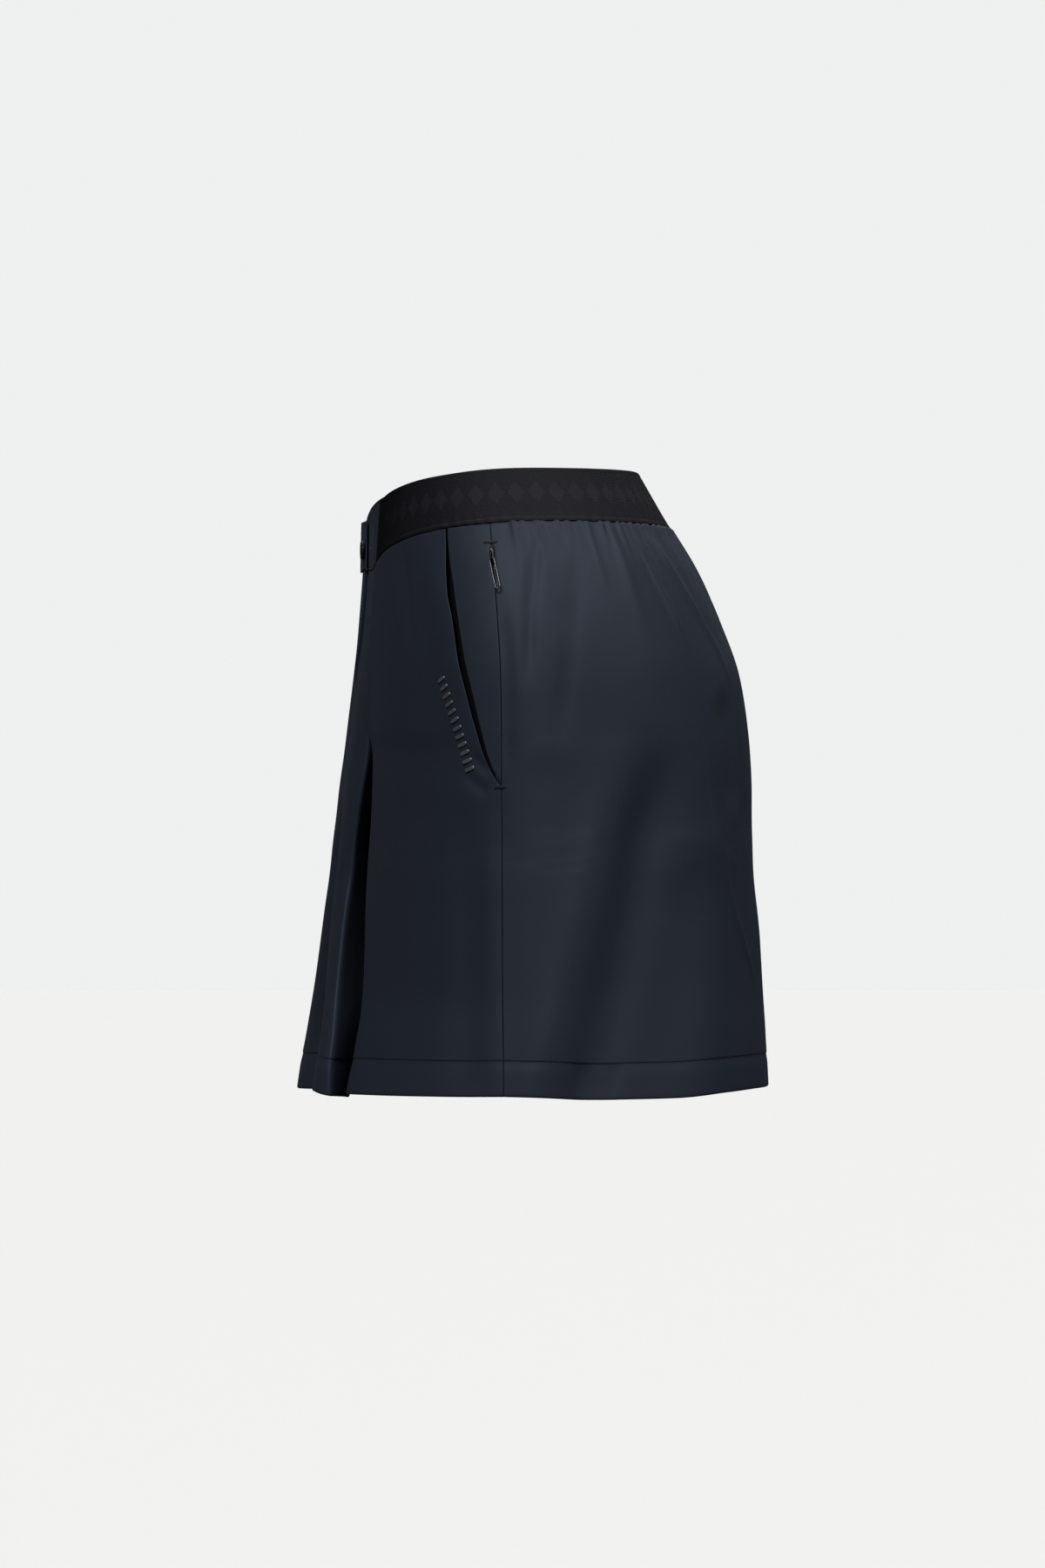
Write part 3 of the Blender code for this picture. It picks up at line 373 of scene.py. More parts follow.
FOLDS_RIGHT = (
    ((52, -140), (36, -245), (24, -380), 18, 2.3),
    ((88, -160), (72, -262), (62, -380), 23, -3.8),
    ((128, -180), (128, -275), (134, -380), 24, 2.0),
    ((150, -140), (172, -225), (220, -290), 3.0, 0.7),
    ((44, -6), (34, -56), (30, -128), 5.0, -1.4),
    ((74, -4), (64, -62), (48, -140), 7.5, -1.6),
    ((100, -10), (118, -50), (150, -110), 3.0, 0.9),
    ((122, -10), (152, -56), (196, -128), 3.4, 1.0),
    ((172, -120), (182, -160), (186, -215), 15, -1.9),
    ((3, -50), (4, -110), (3, -168), 5.5, -1.0),
    ((-9, -180), (-8, -280), (-10, -380), 9.0, 0.9),
    ((-32, -180), (-30, -280), (-34, -380), 14, -1.5),
    ((-24, -152), (-16, -160), (-7, -164), 3.5, -0.8),
    ((-70, -20), (-72, -60), (-76, -100), 6.0, -0.8),
    ((240, -200), (236, -290), (230, -380), 21, -2.4),
    ((290, -190), (286, -280), (284, -380), 22, 2.2),
    ((245, -6), (238, -66), (230, -140), 6.5, -1.3),
)


def fold_relief(girth, height, folds):
    """The sum of the folds: a bell of the distance from each one's bent line, eased in and out along it.
    The bent line is read as 14 straight ones."""
    relief = np.zeros_like(height)
    lines = 14
    t = np.linspace(0, 1, lines + 1)[:, None]
    for start, middle, end, reach, rise in folds:
        corner = 2 * np.array(middle) - 0.5 * np.array(start) - 0.5 * np.array(end)
        line = (1 - t) ** 2 * np.array(start) + 2 * t * (1 - t) * corner + t**2 * np.array(end)
        nearest, along = np.full(height.shape, np.inf), np.zeros(height.shape)
        for k, (a, b) in enumerate(zip(line, line[1:])):
            step = b - a
            share = np.clip(((girth - a[0]) * step[0] + (height - a[1]) * step[1]) / (step @ step), 0, 1)
            apart = np.hypot(girth - a[0] - share * step[0], height - a[1] - share * step[1])
            along = np.where(apart < nearest, (k + share) / lines, along)
            nearest = np.minimum(apart, nearest)
        relief += rise * hump(nearest, 0, reach) * ease(along, 0, 0.3) * ease(along, 1, 0.75)
    return relief


def grid_mesh(name, points, uv, mirrored):
    """A mesh of quads between the neighbours of a grid of points in mm, and a UV map in metres."""
    rows, columns = points.shape[:2]
    points = points * (-1, 1, 1) if mirrored else points
    index = np.arange(rows * columns).reshape(rows, columns)
    quads = np.stack([index[:-1, :-1], index[1:, :-1], index[1:, 1:], index[:-1, 1:]], axis=-1)
    quads = quads.reshape(-1, 4)[:, ::-1] if mirrored else quads.reshape(-1, 4)
    mesh = bpy.data.meshes.new(name)
    mesh.vertices.add(rows * columns)
    mesh.vertices.foreach_set("co", (points * 0.001).astype(np.float32).ravel())
    mesh.loops.add(quads.size)
    mesh.loops.foreach_set("vertex_index", quads.astype(np.int32).ravel())
    mesh.polygons.add(len(quads))
    mesh.polygons.foreach_set("loop_start", np.arange(0, quads.size, 4, dtype=np.int32))
    mesh.polygons.foreach_set("loop_total", np.full(len(quads), 4, np.int32))
    mesh.polygons.foreach_set("use_smooth", np.ones(len(quads), bool))
    layer = mesh.uv_layers.new(name="UVMap")
    layer.data.foreach_set("uv", (uv.reshape(-1, 2)[quads.ravel()] * 0.001).astype(np.float32).ravel())
    mesh.update()
    mesh.validate()
    return mesh


def sew_piece(name, points, uv, thickness, material, mirrored, node):
    """One piece of cloth, thickened inwards, that stands for its solid and goes with the shorts."""
    piece = bpy.data.objects.new(name, grid_mesh(name, points, uv, mirrored))
    bpy.context.scene.collection.objects.link(piece)
    wall = piece.modifiers.new("wall", "SOLIDIFY")
    wall.thickness = thickness * 0.001
    wall.offset = -1.0
    piece.data.materials.append(material)
    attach(piece, "shorts")
    if node:
        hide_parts(node)
    return piece


def cloth_uv(place, points):
    """Across, the distance along the section. Down, the length of each column from its top."""
    steps = np.linalg.norm(np.diff(points, axis=0), axis=2)
    down = np.concatenate([np.zeros((1, points.shape[1])), np.cumsum(steps, axis=0)])
    return np.stack([np.broadcast_to(place, down.shape), -down], axis=-1)


INSIDE_ROWS, TURNED_ROWS = 6, 10


def fold_rows(nominal, edge, depth):
    """Rows of a turned edge: the main rows, four down round the edge, then six back up the inside. Gives
    the rows and how far each lies under the outer face."""
    down_to_edge = [edge + 1.4, edge + 0.7, edge + 0.25, edge]
    up_inside = [edge + 0.2, edge + 0.8, edge + 2.0, edge + depth * 0.5, edge + depth - 1, edge + depth]
    rows = np.concatenate([nominal, down_to_edge, up_inside])
    sink = np.concatenate([np.zeros(len(nominal)), [0, 0.1, 0.35, 0.8], [1.25, 1.5, 1.6, 1.6, 1.6, 1.5]])
    return rows, sink


TOP_ROWS = np.array([-2.5, -4.0, -5.5, -6.6, -7.4, -8.0, -8.6, -9.4, -10.4])
HEM_LINE = HEM_HEIGHT + HEM_DEPTH
CLOTH_ROWS, CLOTH_SINK = fold_rows(
    np.concatenate([
        TOP_ROWS,
        np.arange(-11.6, -40, -1.4),
        np.arange(-40, HEM_LINE + 3, -2.0),
        HEM_LINE + np.array([2.0, 1.0, 0.5, 0.2, 0.0, -0.2, -0.5, -1.0, -2.0]),
        np.arange(HEM_LINE - 3.5, -358.5, -2.2),
    ]),
    HEM_HEIGHT, HEM_DEPTH - 1.0,
)


def tuck(nominal):
    """How far the cloth goes in behind the waistband above its foot."""
    return TUCK_DEPTH * ease(nominal, ROW_START - 0.6, ROW_START + 2.2)


def edge_roll(distance, reach=0.6, depth=1.2):
    """The rolled edge of a piece: a quarter round over its reach, down to its depth at the very edge. A
    pressed seam's edge rolls 1.2 mm deep over its last 0.6 mm."""
    return depth * (1 - np.sqrt(np.clip(1 - (1 - np.clip(distance, 0, reach) / reach) ** 2, 0, 1)))


def hem_groove(nominal):
    """The stitching draws the cloth in along a fine line, steeply from above and easing out below it."""
    main = np.arange(len(nominal)) < len(nominal) - INSIDE_ROWS
    drawn_in = ease(nominal, HEM_LINE + 0.45, HEM_LINE) * ease(nominal, HEM_LINE - 7, HEM_LINE)
    return np.where(main, -GROOVE_DEPTH * drawn_in, 0.0)


def front_edge(height):
    """The place of a front's outer edge: the pocket mouth, then the side seam."""
    return at_height(EDGE, height)


# A front's stretches of columns, close together at the fly, the pleat and the outer edge. The pleat is
# stitched 1.2 mm behind its fold, along the fourth column of the last stretch.
NEAR_SEAM = (0.08, 0.25, 0.5, 0.9, 1.4, 2.2, 3.4)
FRONT_STRETCHES = (
    spread(mark(0), mark(1), 26, near_start=(0.0, 0.3, 0.8, 1.5, 3.0)),
    spread(mark(1), mark(2), 16, near_start=(0.0,)),
    spread(mark(2), mark(3), 14, near_start=(0.0,)),
    spread(mark(3), mark(4), 14, near_start=(0.0,)),
    spread(mark(4), front_edge, 66, near_start=(0.0, 0.3, 0.7, 1.2, 1.8, 2.6), near_end=NEAR_SEAM),
)
PLEAT_STITCH_COLUMN = sum(count for count, places in FRONT_STRETCHES[:4]) + 3


def front_places(height):
    """The places of a front's columns."""
    return side_by_side(height, FRONT_STRETCHES)


def front_foot(x_share, place):
    """The waistband's foot above a column, by X as a share of the half width."""
    return read_table(x_share, BAND_FOOT_FRONT)


def start_material(name, settings):
    """A new material with settings on its shader's own sockets: itself, its node tree and its shader."""
    made = bpy.data.materials.new(name)
    made.use_nodes = True
    shader = made.node_tree.nodes["Principled BSDF"]
    for socket, value in settings.items():
        shader.inputs[socket].default_value = value
    return made, made.node_tree, shader


def read_uv(tree):
    """The piece's UV map, in metres: the pair, X alone and Y alone."""
    where = tree.nodes.new("ShaderNodeUVMap").outputs["UV"]
    parts = tree.nodes.new("ShaderNodeSeparateXYZ")
    tree.links.new(where, parts.inputs["Vector"])
    return where, parts.outputs["X"], parts.outputs["Y"]


def number(tree, operation, a, b=0):
    """One step of arithmetic on plain numbers and other nodes' outputs."""
    step = tree.nodes.new("ShaderNodeMath")
    step.operation = operation
    for socket, value in zip(step.inputs, (a, b)):
        if isinstance(value, (int, float)):
            socket.default_value = value
        else:
            tree.links.new(value, socket)
    return step.outputs[0]


def noise(tree, where, scale, detail=2.0, roughness=0.5):
    """Cloudy noise: its cells per metre, its count of finer layers and how strong they are."""
    clouds = tree.nodes.new("ShaderNodeTexNoise")
    clouds.inputs["Scale"].default_value = scale
    clouds.inputs["Detail"].default_value = detail
    clouds.inputs["Roughness"].default_value = roughness
    tree.links.new(where, clouds.inputs["Vector"])
    return clouds.outputs["Fac"]


def mix_colour(tree, shader, share, dark, pale):
    """The shader's colour: dark where the share is 0, pale where it is 1, and mixed between."""
    colour = tree.nodes.new("ShaderNodeMix")
    colour.data_type = "RGBA"
    colour.inputs["A"].default_value = (*dark, 1)
    colour.inputs["B"].default_value = (*pale, 1)
    tree.links.new(share, colour.inputs["Factor"])
    tree.links.new(colour.outputs["Result"], shader.inputs["Base Color"])


def bump(tree, height, strength, depth):
    """A bump of the surface by a height from 0 to 1 times a depth in metres."""
    raised = tree.nodes.new("ShaderNodeBump")
    raised.inputs["Strength"].default_value = strength
    raised.inputs["Distance"].default_value = depth
    tree.links.new(height, raised.inputs["Height"])
    return raised


def crossed_threads(tree, rib_way, rib_pitch, yarn_way, yarn_pitch):
    """Ribs crossed by yarns: 0.6 of a sine of the one way over its pitch plus 0.4 of one of the other."""
    ribs = number(tree, "SINE", number(tree, "MULTIPLY", rib_way, 2 * math.pi / rib_pitch))
    yarns = number(tree, "SINE", number(tree, "MULTIPLY", yarn_way, 2 * math.pi / yarn_pitch))
    return number(tree, "ADD", number(tree, "MULTIPLY", ribs, 0.6), number(tree, "MULTIPLY", yarns, 0.4))


def weave_cloth():
    """Smooth, fine woven cloth: a twill of 0.36 mm threads, faintly uneven, with a soft sheen."""
    made, tree, shader = start_material("smooth_woven_cloth", {
        "Roughness": 0.48,
        "Specular IOR Level": 0.09,
        "Specular Tint": (0.72, 0.82, 1.0, 1),
        "Sheen Weight": 0.02,
        "Sheen Roughness": 0.4,
        "Sheen Tint": (0.55, 0.66, 0.85, 1),
    })
    where, x, y = read_uv(tree)
    thread_width = 0.00036
    weave = crossed_threads(tree, number(tree, "ADD", x, y), 2 * thread_width, x, thread_width)
    slub = noise(tree, where, 900, detail=3)
    soft = noise(tree, where, 26, detail=4, roughness=0.45)
    tone = number(tree, "ADD", number(tree, "MULTIPLY", slub, 0.5), number(tree, "MULTIPLY", soft, 0.5))
    mix_colour(tree, shader, tone, (0.0112, 0.0137, 0.0203), (0.0142, 0.0175, 0.0255))
    fine = bump(tree, weave, 0.35, 0.00005)
    broad = bump(tree, soft, 0.5, 0.0004)
    tree.links.new(broad.outputs["Normal"], fine.inputs["Normal"])
    tree.links.new(fine.outputs["Normal"], shader.inputs["Normal"])
    return made


cloth = weave_cloth()


def spun_thread():
    """Dark polyester sewing thread, a little glossier than the cloth, twisted."""
    made, tree, shader = start_material("sewing_thread", {"Roughness": 0.5, "Specular IOR Level": 0.2})
    twist = noise(tree, tree.nodes.new("ShaderNodeTexCoord").outputs["Object"], 2600)
    mix_colour(tree, shader, twist, (0.0030, 0.0036, 0.0055), (0.0065, 0.0078, 0.0115))
    return made


thread = spun_thread()
ROD_SIDES = 6
# share of the rod's length, share of its radius
ROD_RINGS = ((0, 0.55), (0.12, 0.95), (0.5, 1.0), (0.88, 0.95), (1.0, 0.55))
ROD_TIP = 0.45


def ring_quads(rings, sides):
    """Quads between neighbouring rings of a stack, whose points are counted round and then onwards."""
    ring, side = np.arange(rings - 1)[:, None] * sides, np.arange(sides)
    after = (side + 1) % sides
    return np.stack([ring + side, ring + after, ring + sides + after, ring + sides + side], -1).reshape(-1, 4)


def small_piece(name, points, faces, material):
    """A smooth mesh from points in mm and faces, which goes with the shorts."""
    mesh = bpy.data.meshes.new(name)
    mesh.from_pydata((points.reshape(-1, 3) * 0.001).tolist(), [], faces)
    mesh.polygons.foreach_set("use_smooth", np.ones(len(mesh.polygons), bool))
    mesh.materials.append(material)
    piece = bpy.data.objects.new(name, mesh)
    bpy.context.scene.collection.objects.link(piece)
    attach(piece, "shorts")


def lay_rods(name, starts, ends, radius, material, slot):
    """Many short rods with rounded ends as one mesh: five rings of points round each rod's line, slimmer
    near its ends, and a point 0.45 of its radius past each end."""
    starts, ends = np.asarray(starts), np.asarray(ends)
    axis = ends - starts
    unit = axis / np.linalg.norm(axis, axis=1, keepdims=True)
    aside = np.where(np.abs(unit[:, 2:]) < 0.9, (0.0, 0.0, 1.0), (1.0, 0.0, 0.0))
    u = np.cross(unit, aside)
    u /= np.linalg.norm(u, axis=1, keepdims=True)
    v = np.cross(unit, u)
    turn = np.arange(ROD_SIDES) * 2 * math.pi / ROD_SIDES
    along, width = np.array(ROD_RINGS).T[:, None, :, None, None]
    round_it = np.cos(turn)[None, :, None] * u[:, None] + np.sin(turn)[None, :, None] * v[:, None]
    rings = starts[:, None, None] + axis[:, None, None] * along + radius * width * round_it[:, None]
    tips = np.stack([starts - unit * radius * ROD_TIP, ends + unit * radius * ROD_TIP], axis=1)
    points = np.concatenate([rings.reshape(len(starts), -1, 3), tips], axis=1)
    side = np.arange(ROD_SIDES)
    after = (side + 1) % ROD_SIDES
    first_tip = len(ROD_RINGS) * ROD_SIDES
    last_ring = first_tip - ROD_SIDES
    start_fan = np.stack([np.full(ROD_SIDES, first_tip), after, side], -1)
    end_fan = np.stack([np.full(ROD_SIDES, first_tip + 1), last_ring + side, last_ring + after], -1)
    offsets = (np.arange(len(starts)) * (first_tip + 2))[:, None, None]
    quads = (ring_quads(len(ROD_RINGS), ROD_SIDES) + offsets).reshape(-1, 4)
    fans = (np.concatenate([start_fan, end_fan]) + offsets).reshape(-1, 3)
    small_piece(name, points, quads.tolist() + fans.tolist(), material)


def stitches_along(line, pitch, length):
    """Starts and ends of stitches of one length, a pitch apart, along a line of points."""
    run = np.concatenate([[0], np.cumsum(np.linalg.norm(np.diff(line, axis=0), axis=1))])
    begin = np.arange(pitch / 2, run[-1] - length, pitch)
    at = lambda s: np.column_stack([np.interp(s, run, line[:, k]) for k in range(3)])
    return at(begin), at(begin + length)


def read_grid(points, nominal, place, wanted):
    """Points of a laid piece at wanted (place, nominal height) pairs, between its rows and columns."""
    falling = nominal[:-TURNED_ROWS]
    found = []
    for across, level in wanted:
        low = int(np.clip(np.searchsorted(-falling, -level), 1, len(falling) - 1))
        share = (falling[low - 1] - level) / (falling[low - 1] - falling[low])
        ends = [[np.interp(across, place[r], points[r, :, k]) for k in range(3)] for r in (low - 1, low)]
        found.append(np.array(ends[0]) * (1 - share) + np.array(ends[1]) * share)
    return np.array(found)


FLY_ROLL, MOUTH_ROLL = 0.8, 0.35
MOUTH_LIFT, LIFT_REACH = 2.4, 30
PLEAT_GROOVE, PLEAT_SWELL = 0.55, 0.25
LAP_PROUD, LAP_WIDTH = 1.6, 6.0
LAP_FOOT, LAP_FULL, LAP_WIDE = -110, -98, -84


def lay_front(name, node, mirrored):
    """One front: the form, plus its seams, pleat stitching, pocket mouth, hem and soft folds. The right
    one also lies over the left at the fly, and its ridge hangs lower at the hem."""
    height, place = laid_rows(CLOTH_ROWS, front_places, front_foot)
    way = way_of(place, height)
    points, normals = on_form(way, height)
    nominal = CLOTH_ROWS[:, None]
    from_fold = place - mark(4)(height)
    from_edge = front_edge(height) - place
    relief = WALL_HALF - CLOTH_SINK[:, None] - tuck(nominal) + hem_groove(CLOTH_ROWS)[:, None]
    relief = relief - np.where(height > POCKET_FOOT, MOUTH_ROLL, 1.0) * edge_roll(from_edge)
    if not mirrored:
        relief -= FLY_ROLL * edge_roll(place)
    sewn_shut = ease(height, PLEAT_FOOT - 2, PLEAT_FOOT + 6)
    relief -= PLEAT_GROOVE * hump(from_fold, -0.6, 0.7) * sewn_shut
    relief += PLEAT_SWELL * hump(from_fold, 2.2, 2.4) * sewn_shut
    folds = FOLDS_RIGHT if mirrored else FOLDS_LEFT
    relief += fold_relief(place - side_seam(height), height, folds) * ease(from_fold, 4, 16)
    beside_mouth = ease(height, POCKET_FOOT, -120) * ease(height, -18, -60) * ease(from_edge, LIFT_REACH, 0)
    points = points + normals * (relief + MOUTH_LIFT * beside_mouth)[..., None]
    shifts = np.array(FRONT_HEM_SHIFT)
    if mirrored:
        shifts[1] -= 3.0
    hem_way = np.where(way > 4, 4 + (way - 4) / (way[:, -1:] - 4), way)
    points[..., 2] += np.interp(hem_way, np.arange(6), shifts) * ease(height, HEM_SHIFT_START, HEM_HEIGHT)
    if mirrored:
        over = ease(height, LAP_FOOT, LAP_FULL) * np.interp(place, (0, 5, 10, 15, 20), (1, 1, 0.8, 0.4, 0))
        points[..., 1] -= LAP_PROUD * over
        points[..., 0] -= LAP_WIDTH * ease(height, LAP_FULL, LAP_WIDE) * np.clip(1 - place / 5, 0, 1)
    piece = sew_piece(name, points, cloth_uv(place, points), CLOTH_THICKNESS, cloth, mirrored, node)
    return points, place


front_points, front_place = lay_front("left_front", "front_left", False)
over_points, over_place = lay_front("right_front", "front_right", True)
over_points = over_points * (-1, 1, 1)
HEM_ROW = int(np.argmin(np.abs(CLOTH_ROWS[:-TURNED_ROWS] - HEM_LINE)))
STITCH_PITCH, STITCH_LENGTH, HEM_THREAD_HALF, TOP_THREAD_HALF = 2.6, 2.0, 0.17, 0.19


def lay_front_stitches(name, points):
    """The hem's stitches, and those that hold the pleat shut."""
    starts, ends = stitches_along(points[HEM_ROW], STITCH_PITCH, STITCH_LENGTH)
    lay_rods(f"{name}_hem_stitches", starts, ends, HEM_THREAD_HALF, thread, "cloth")
    rows = (CLOTH_ROWS < -12) & (CLOTH_ROWS > PLEAT_FOOT)
    starts, ends = stitches_along(points[rows, PLEAT_STITCH_COLUMN], STITCH_PITCH, STITCH_LENGTH)
    lay_rods(f"{name}_pleat_stitches", starts, ends, HEM_THREAD_HALF, thread, "cloth")


lay_front_stitches("left", front_points)
lay_front_stitches("right", over_points)

# The fly's stitching on the right front: straight down 29 mm from its edge, then round towards the edge.
FLY_STITCH_IN, FLY_CURVE_TOP, FLY_CURVE_FOOT = 29.0, -74.0, -112.0
STRAIGHT_COUNT, CURVE_COUNT = 30, 24
turn = np.linspace(0, math.pi / 2 - 0.06, CURVE_COUNT)[1:]
fly_place = np.concatenate([np.full(STRAIGHT_COUNT, FLY_STITCH_IN), FLY_STITCH_IN * np.cos(turn)])
fly_level = np.concatenate([
    np.linspace(-12, FLY_CURVE_TOP, STRAIGHT_COUNT),
    FLY_CURVE_TOP + (FLY_CURVE_FOOT - FLY_CURVE_TOP) * np.sin(turn),
])
fly_line = read_grid(over_points, CLOTH_ROWS, over_place, zip(fly_place, fly_level))
lay_rods("fly_stitches", *stitches_along(fly_line, 2.8, 2.2), TOP_THREAD_HALF, thread, "cloth")


# ------------------------------------------------------------------ pocket sides
# The side piece behind each slanted pocket mouth, of the same cloth, near black as painted shade under
# the mouth and just past it in the slit. Its back edge lies in the side seam, where the pocket's zip closes.

MOUTH_OVERLAP = 26.0
SLIT_WIDTH = 5.0
PAINTED_SHADE_COLUMNS = 16
POCKET_DROP, MARGIN_DROP = 2.3, 0.65


def near_black_painted_shade():
    """Near-black matt painted shade for the slit behind the pocket mouth, with a faint unevenness."""
    made, tree, shader = start_material("near_black_painted_shade", {"Roughness": 0.8, "Specular IOR Level": 0.05})
    yarns = noise(tree, tree.nodes.new("ShaderNodeTexCoord").outputs["Object"], 900)
    mix_colour(tree, shader, yarns, (0.0008, 0.0008, 0.0010), (0.0020, 0.0020, 0.0024))
    return made


slit_painted_shade = near_black_painted_shade()


def pocket_mouth(height):
    """The pocket mouth's place at each height. Below the mouth it keeps the Y of the mouth's foot."""
    return at_height(MOUTH, height)


def past_slit(height):
    """Where the slit behind the mouth is past: 5 mm from it, or half way to the side seam if less."""
    mouth = pocket_mouth(height)
    return mouth + np.minimum(SLIT_WIDTH, 0.5 * (side_seam(height) - mouth))


def pocket_places(height):
    """Columns of a pocket side, from under the front's pocket mouth to the side seam."""
    return side_by_side(height, [
        spread(lambda h: pocket_mouth(h) - MOUTH_OVERLAP, pocket_mouth, 12, near_start=(0.0,)),
        spread(pocket_mouth, past_slit, 18, near_start=(0.0,)),
        spread(past_slit, side_seam, 22, near_start=(0.0,), near_end=NEAR_SEAM),
    ])


ZIP_TOP, ZIP_OPEN, ZIP_GAPE = -23.0, -36.5, 1.15


def zip_part(height):
    """How far each edge of the side seam stands back from it, in mm: apart round the slider, else shut."""
    return ZIP_GAPE * ease(height, ZIP_TOP + 1.0, ZIP_TOP - 2.5) * ease(height, ZIP_OPEN - 14, ZIP_OPEN + 2)


def lay_pocket_side(name, node, mirrored):
    """The form, lower under the mouth and in a slit just behind it, level with the back from there, and
    close to the front's inside at its front margin."""
    rows = np.concatenate([TOP_ROWS, np.arange(-11.6, -174.0, -1.8)])
    height, place = laid_rows(rows, pocket_places, front_foot)
    points, normals = on_form(way_of(place, height), height)
    past_mouth = place - pocket_mouth(height)
    from_seam = side_seam(height) - place
    gape = ease(height, POCKET_FOOT + 2, -158) * ease(height, -16, -40)
    slit = 0.6 + 0.4 * gape + 1.5 * hump(height, -50, 13) + 0.9 * hump(height, -100, 26)
    drop = (POCKET_DROP + 3.0 * gape) * (1 - ease(past_mouth - slit, 0, 1.4)) + 0.4 * gape
    drop += (MARGIN_DROP - drop) * ease(past_mouth, -10, -23)
    relief = WALL_HALF - drop - tuck(rows[:, None]) - edge_roll(from_seam - zip_part(height))
    points = points + normals * relief[..., None]
    piece = sew_piece(name, points, cloth_uv(place, points), CLOTH_THICKNESS, cloth, mirrored, node)
    piece.data.materials.append(slit_painted_shade)
    # Painted shade: the faces under the front and just past the mouth, in the slit, take the near-black
    # colour.
    shaded_faces = np.zeros((points.shape[0] - 1, points.shape[1] - 1), dtype=np.int32)
    shaded_faces[:, :PAINTED_SHADE_COLUMNS] = 1
    piece.data.polygons.foreach_set("material_index", shaded_faces.ravel())


lay_pocket_side("left_pocket_side", "pocket_side_left", False)
lay_pocket_side("right_pocket_side", "pocket_side_right", True)


# ------------------------------------------------------------------ backs
# Each back is gathered onto the stretched elastic and runs from the side seam to the back middle seam,
# the crotch seam and the inseam. Its hem is turned up like the fronts'.

BAND_FOOT_BACK = ((0, -12.0), (0.63, -9.7), (1, -8.3))
BACK_HEM_SHIFT = ((0, 0.9), (0.15, -0.4), (0.25, -0.3), (0.35, 2.2), (0.45, 3.6), (0.6, 3.8), (1, 3.0))


def back_places(height):
    """Columns of a back, even along the section but for those close to its two seams."""
    return side_by_side(height, [spread(side_seam, mark(7), 186, near_start=NEAR_SEAM, near_end=NEAR_SEAM)])


def back_foot(x_share, place):
    """The waistband's foot above a column: the front's table as far as the widest point, then the back's."""
    behind = place > at_height(MARKS[:, 5], ROW_START)
    return np.where(behind, read_table(x_share, BAND_FOOT_BACK), read_table(x_share, BAND_FOOT_FRONT))


GATHER_COUNT = 31


def gather_relief(share, below, seed):
    """Gathers: bells of uneven place, width, height and length that start at the band and run out below."""
    rng = np.random.default_rng(seed)
    relief = np.zeros(np.broadcast(share, below).shape)
    shifts = rng.uniform(-0.28, 0.28, GATHER_COUNT)
    for middle in 0.055 + 0.93 * (np.arange(GATHER_COUNT) + shifts) / GATHER_COUNT:
        width, rise = rng.uniform(0.0055, 0.0100), rng.uniform(0.8, 1.6)
        length, drift = rng.choice((9, 14, 22, 38, 60)) * rng.uniform(0.8, 1.2), rng.uniform(-0.0002, 0.00025)
        bell = hump(share, middle + drift * below, width * (1 + below / 40))
        relief += rise * bell * np.exp(-((below / length) ** 1.5))
    return relief * ease(share, 0.02, 0.07)


def lay_back(name, node, mirrored):
    """One back: the form, plus its gathers, seams, hem, hem stitches and soft folds."""
    height, place = laid_rows(CLOTH_ROWS, back_places, back_foot)
    points, normals = on_form(way_of(place, height), height)
    nominal = CLOTH_ROWS[:, None]
    seam, end = side_seam(height), mark(7)(height)
    share = (place - seam) / (end - seam)
    below = np.maximum(ROW_START - nominal, 0)
    relief = WALL_HALF - CLOTH_SINK[:, None] - tuck(nominal) + hem_groove(CLOTH_ROWS)[:, None]
    relief = relief - edge_roll(place - seam - zip_part(height)) - edge_roll(end - place)
    relief += gather_relief(share, below, 7 if mirrored else 4) * (CLOTH_SINK[:, None] == 0)
    relief += fold_relief(place - seam, height, FOLDS_RIGHT if mirrored else FOLDS_LEFT)
    points = points + normals * relief[..., None]
    points[..., 2] += read_table(share, BACK_HEM_SHIFT) * ease(height, HEM_SHIFT_START, HEM_HEIGHT)
    piece = sew_piece(name, points, cloth_uv(place, points), CLOTH_THICKNESS, cloth, mirrored, node)
    hem = points[HEM_ROW] * (-1 if mirrored else 1, 1, 1)
    starts, ends = stitches_along(hem, STITCH_PITCH, STITCH_LENGTH)
    lay_rods(f"{name}_hem_stitches", starts, ends, HEM_THREAD_HALF, thread, "cloth")


lay_back("left_back", "back_left", False)
lay_back("right_back", "back_right", True)


# ------------------------------------------------------------------ seam allowances
# Inside the side seams and the centre back seam the two cut edges are pressed open and held down, so a
# strip of cloth backs each seam, from the waistband to the hem at the sides and nearly to the crotch at
# the back.

ALLOWANCE_HALF, ALLOWANCE_SINK, ALLOWANCE_THICKNESS = 5.0, 1.25, 0.3
SIDE_ALLOWANCE_FOOT, BACK_ALLOWANCE_FOOT = HEM_HEIGHT + 3, -200.0


def lay_allowance(name, place_of, low, folds, deeper, mirrored, both_ways=False):
    """A strip of the form, sunk behind the cloth: places across a seam at each height, or up to it on one
    half and on from it on the other."""
    rows = np.concatenate([[-6.5, -8.0, -9.5, -11.0], np.arange(-13.0, low, -3.0)])[:, None]
    across = np.linspace(-ALLOWANCE_HALF, 0.0 if both_ways else ALLOWANCE_HALF, 7)[None]
    height, place = rows + 0 * across, place_of(rows) + across
    points, normals = on_form(way_of(place, height), height)
    relief = WALL_HALF - ALLOWANCE_SINK - deeper(height) - TUCK_DEPTH * ease(height, -11.5, -8.5)
    relief += fold_relief(place - side_seam(height), height, folds)
    points = points + normals * relief[..., None]
    if both_ways:
        points = np.concatenate([points, points[:, -2::-1] * (-1, 1, 1)], axis=1)
        place = np.concatenate([place, place[:, -2::-1]], axis=1)
    uv = cloth_uv(place, points)
    strip = sew_piece(name, points, uv, ALLOWANCE_THICKNESS, cloth, mirrored, None)


def pocket_part(height):
    """How much deeper the strip lies beside the pocket."""
    return 1.9 * ease(height, POCKET_FOOT - 8, POCKET_FOOT + 2)


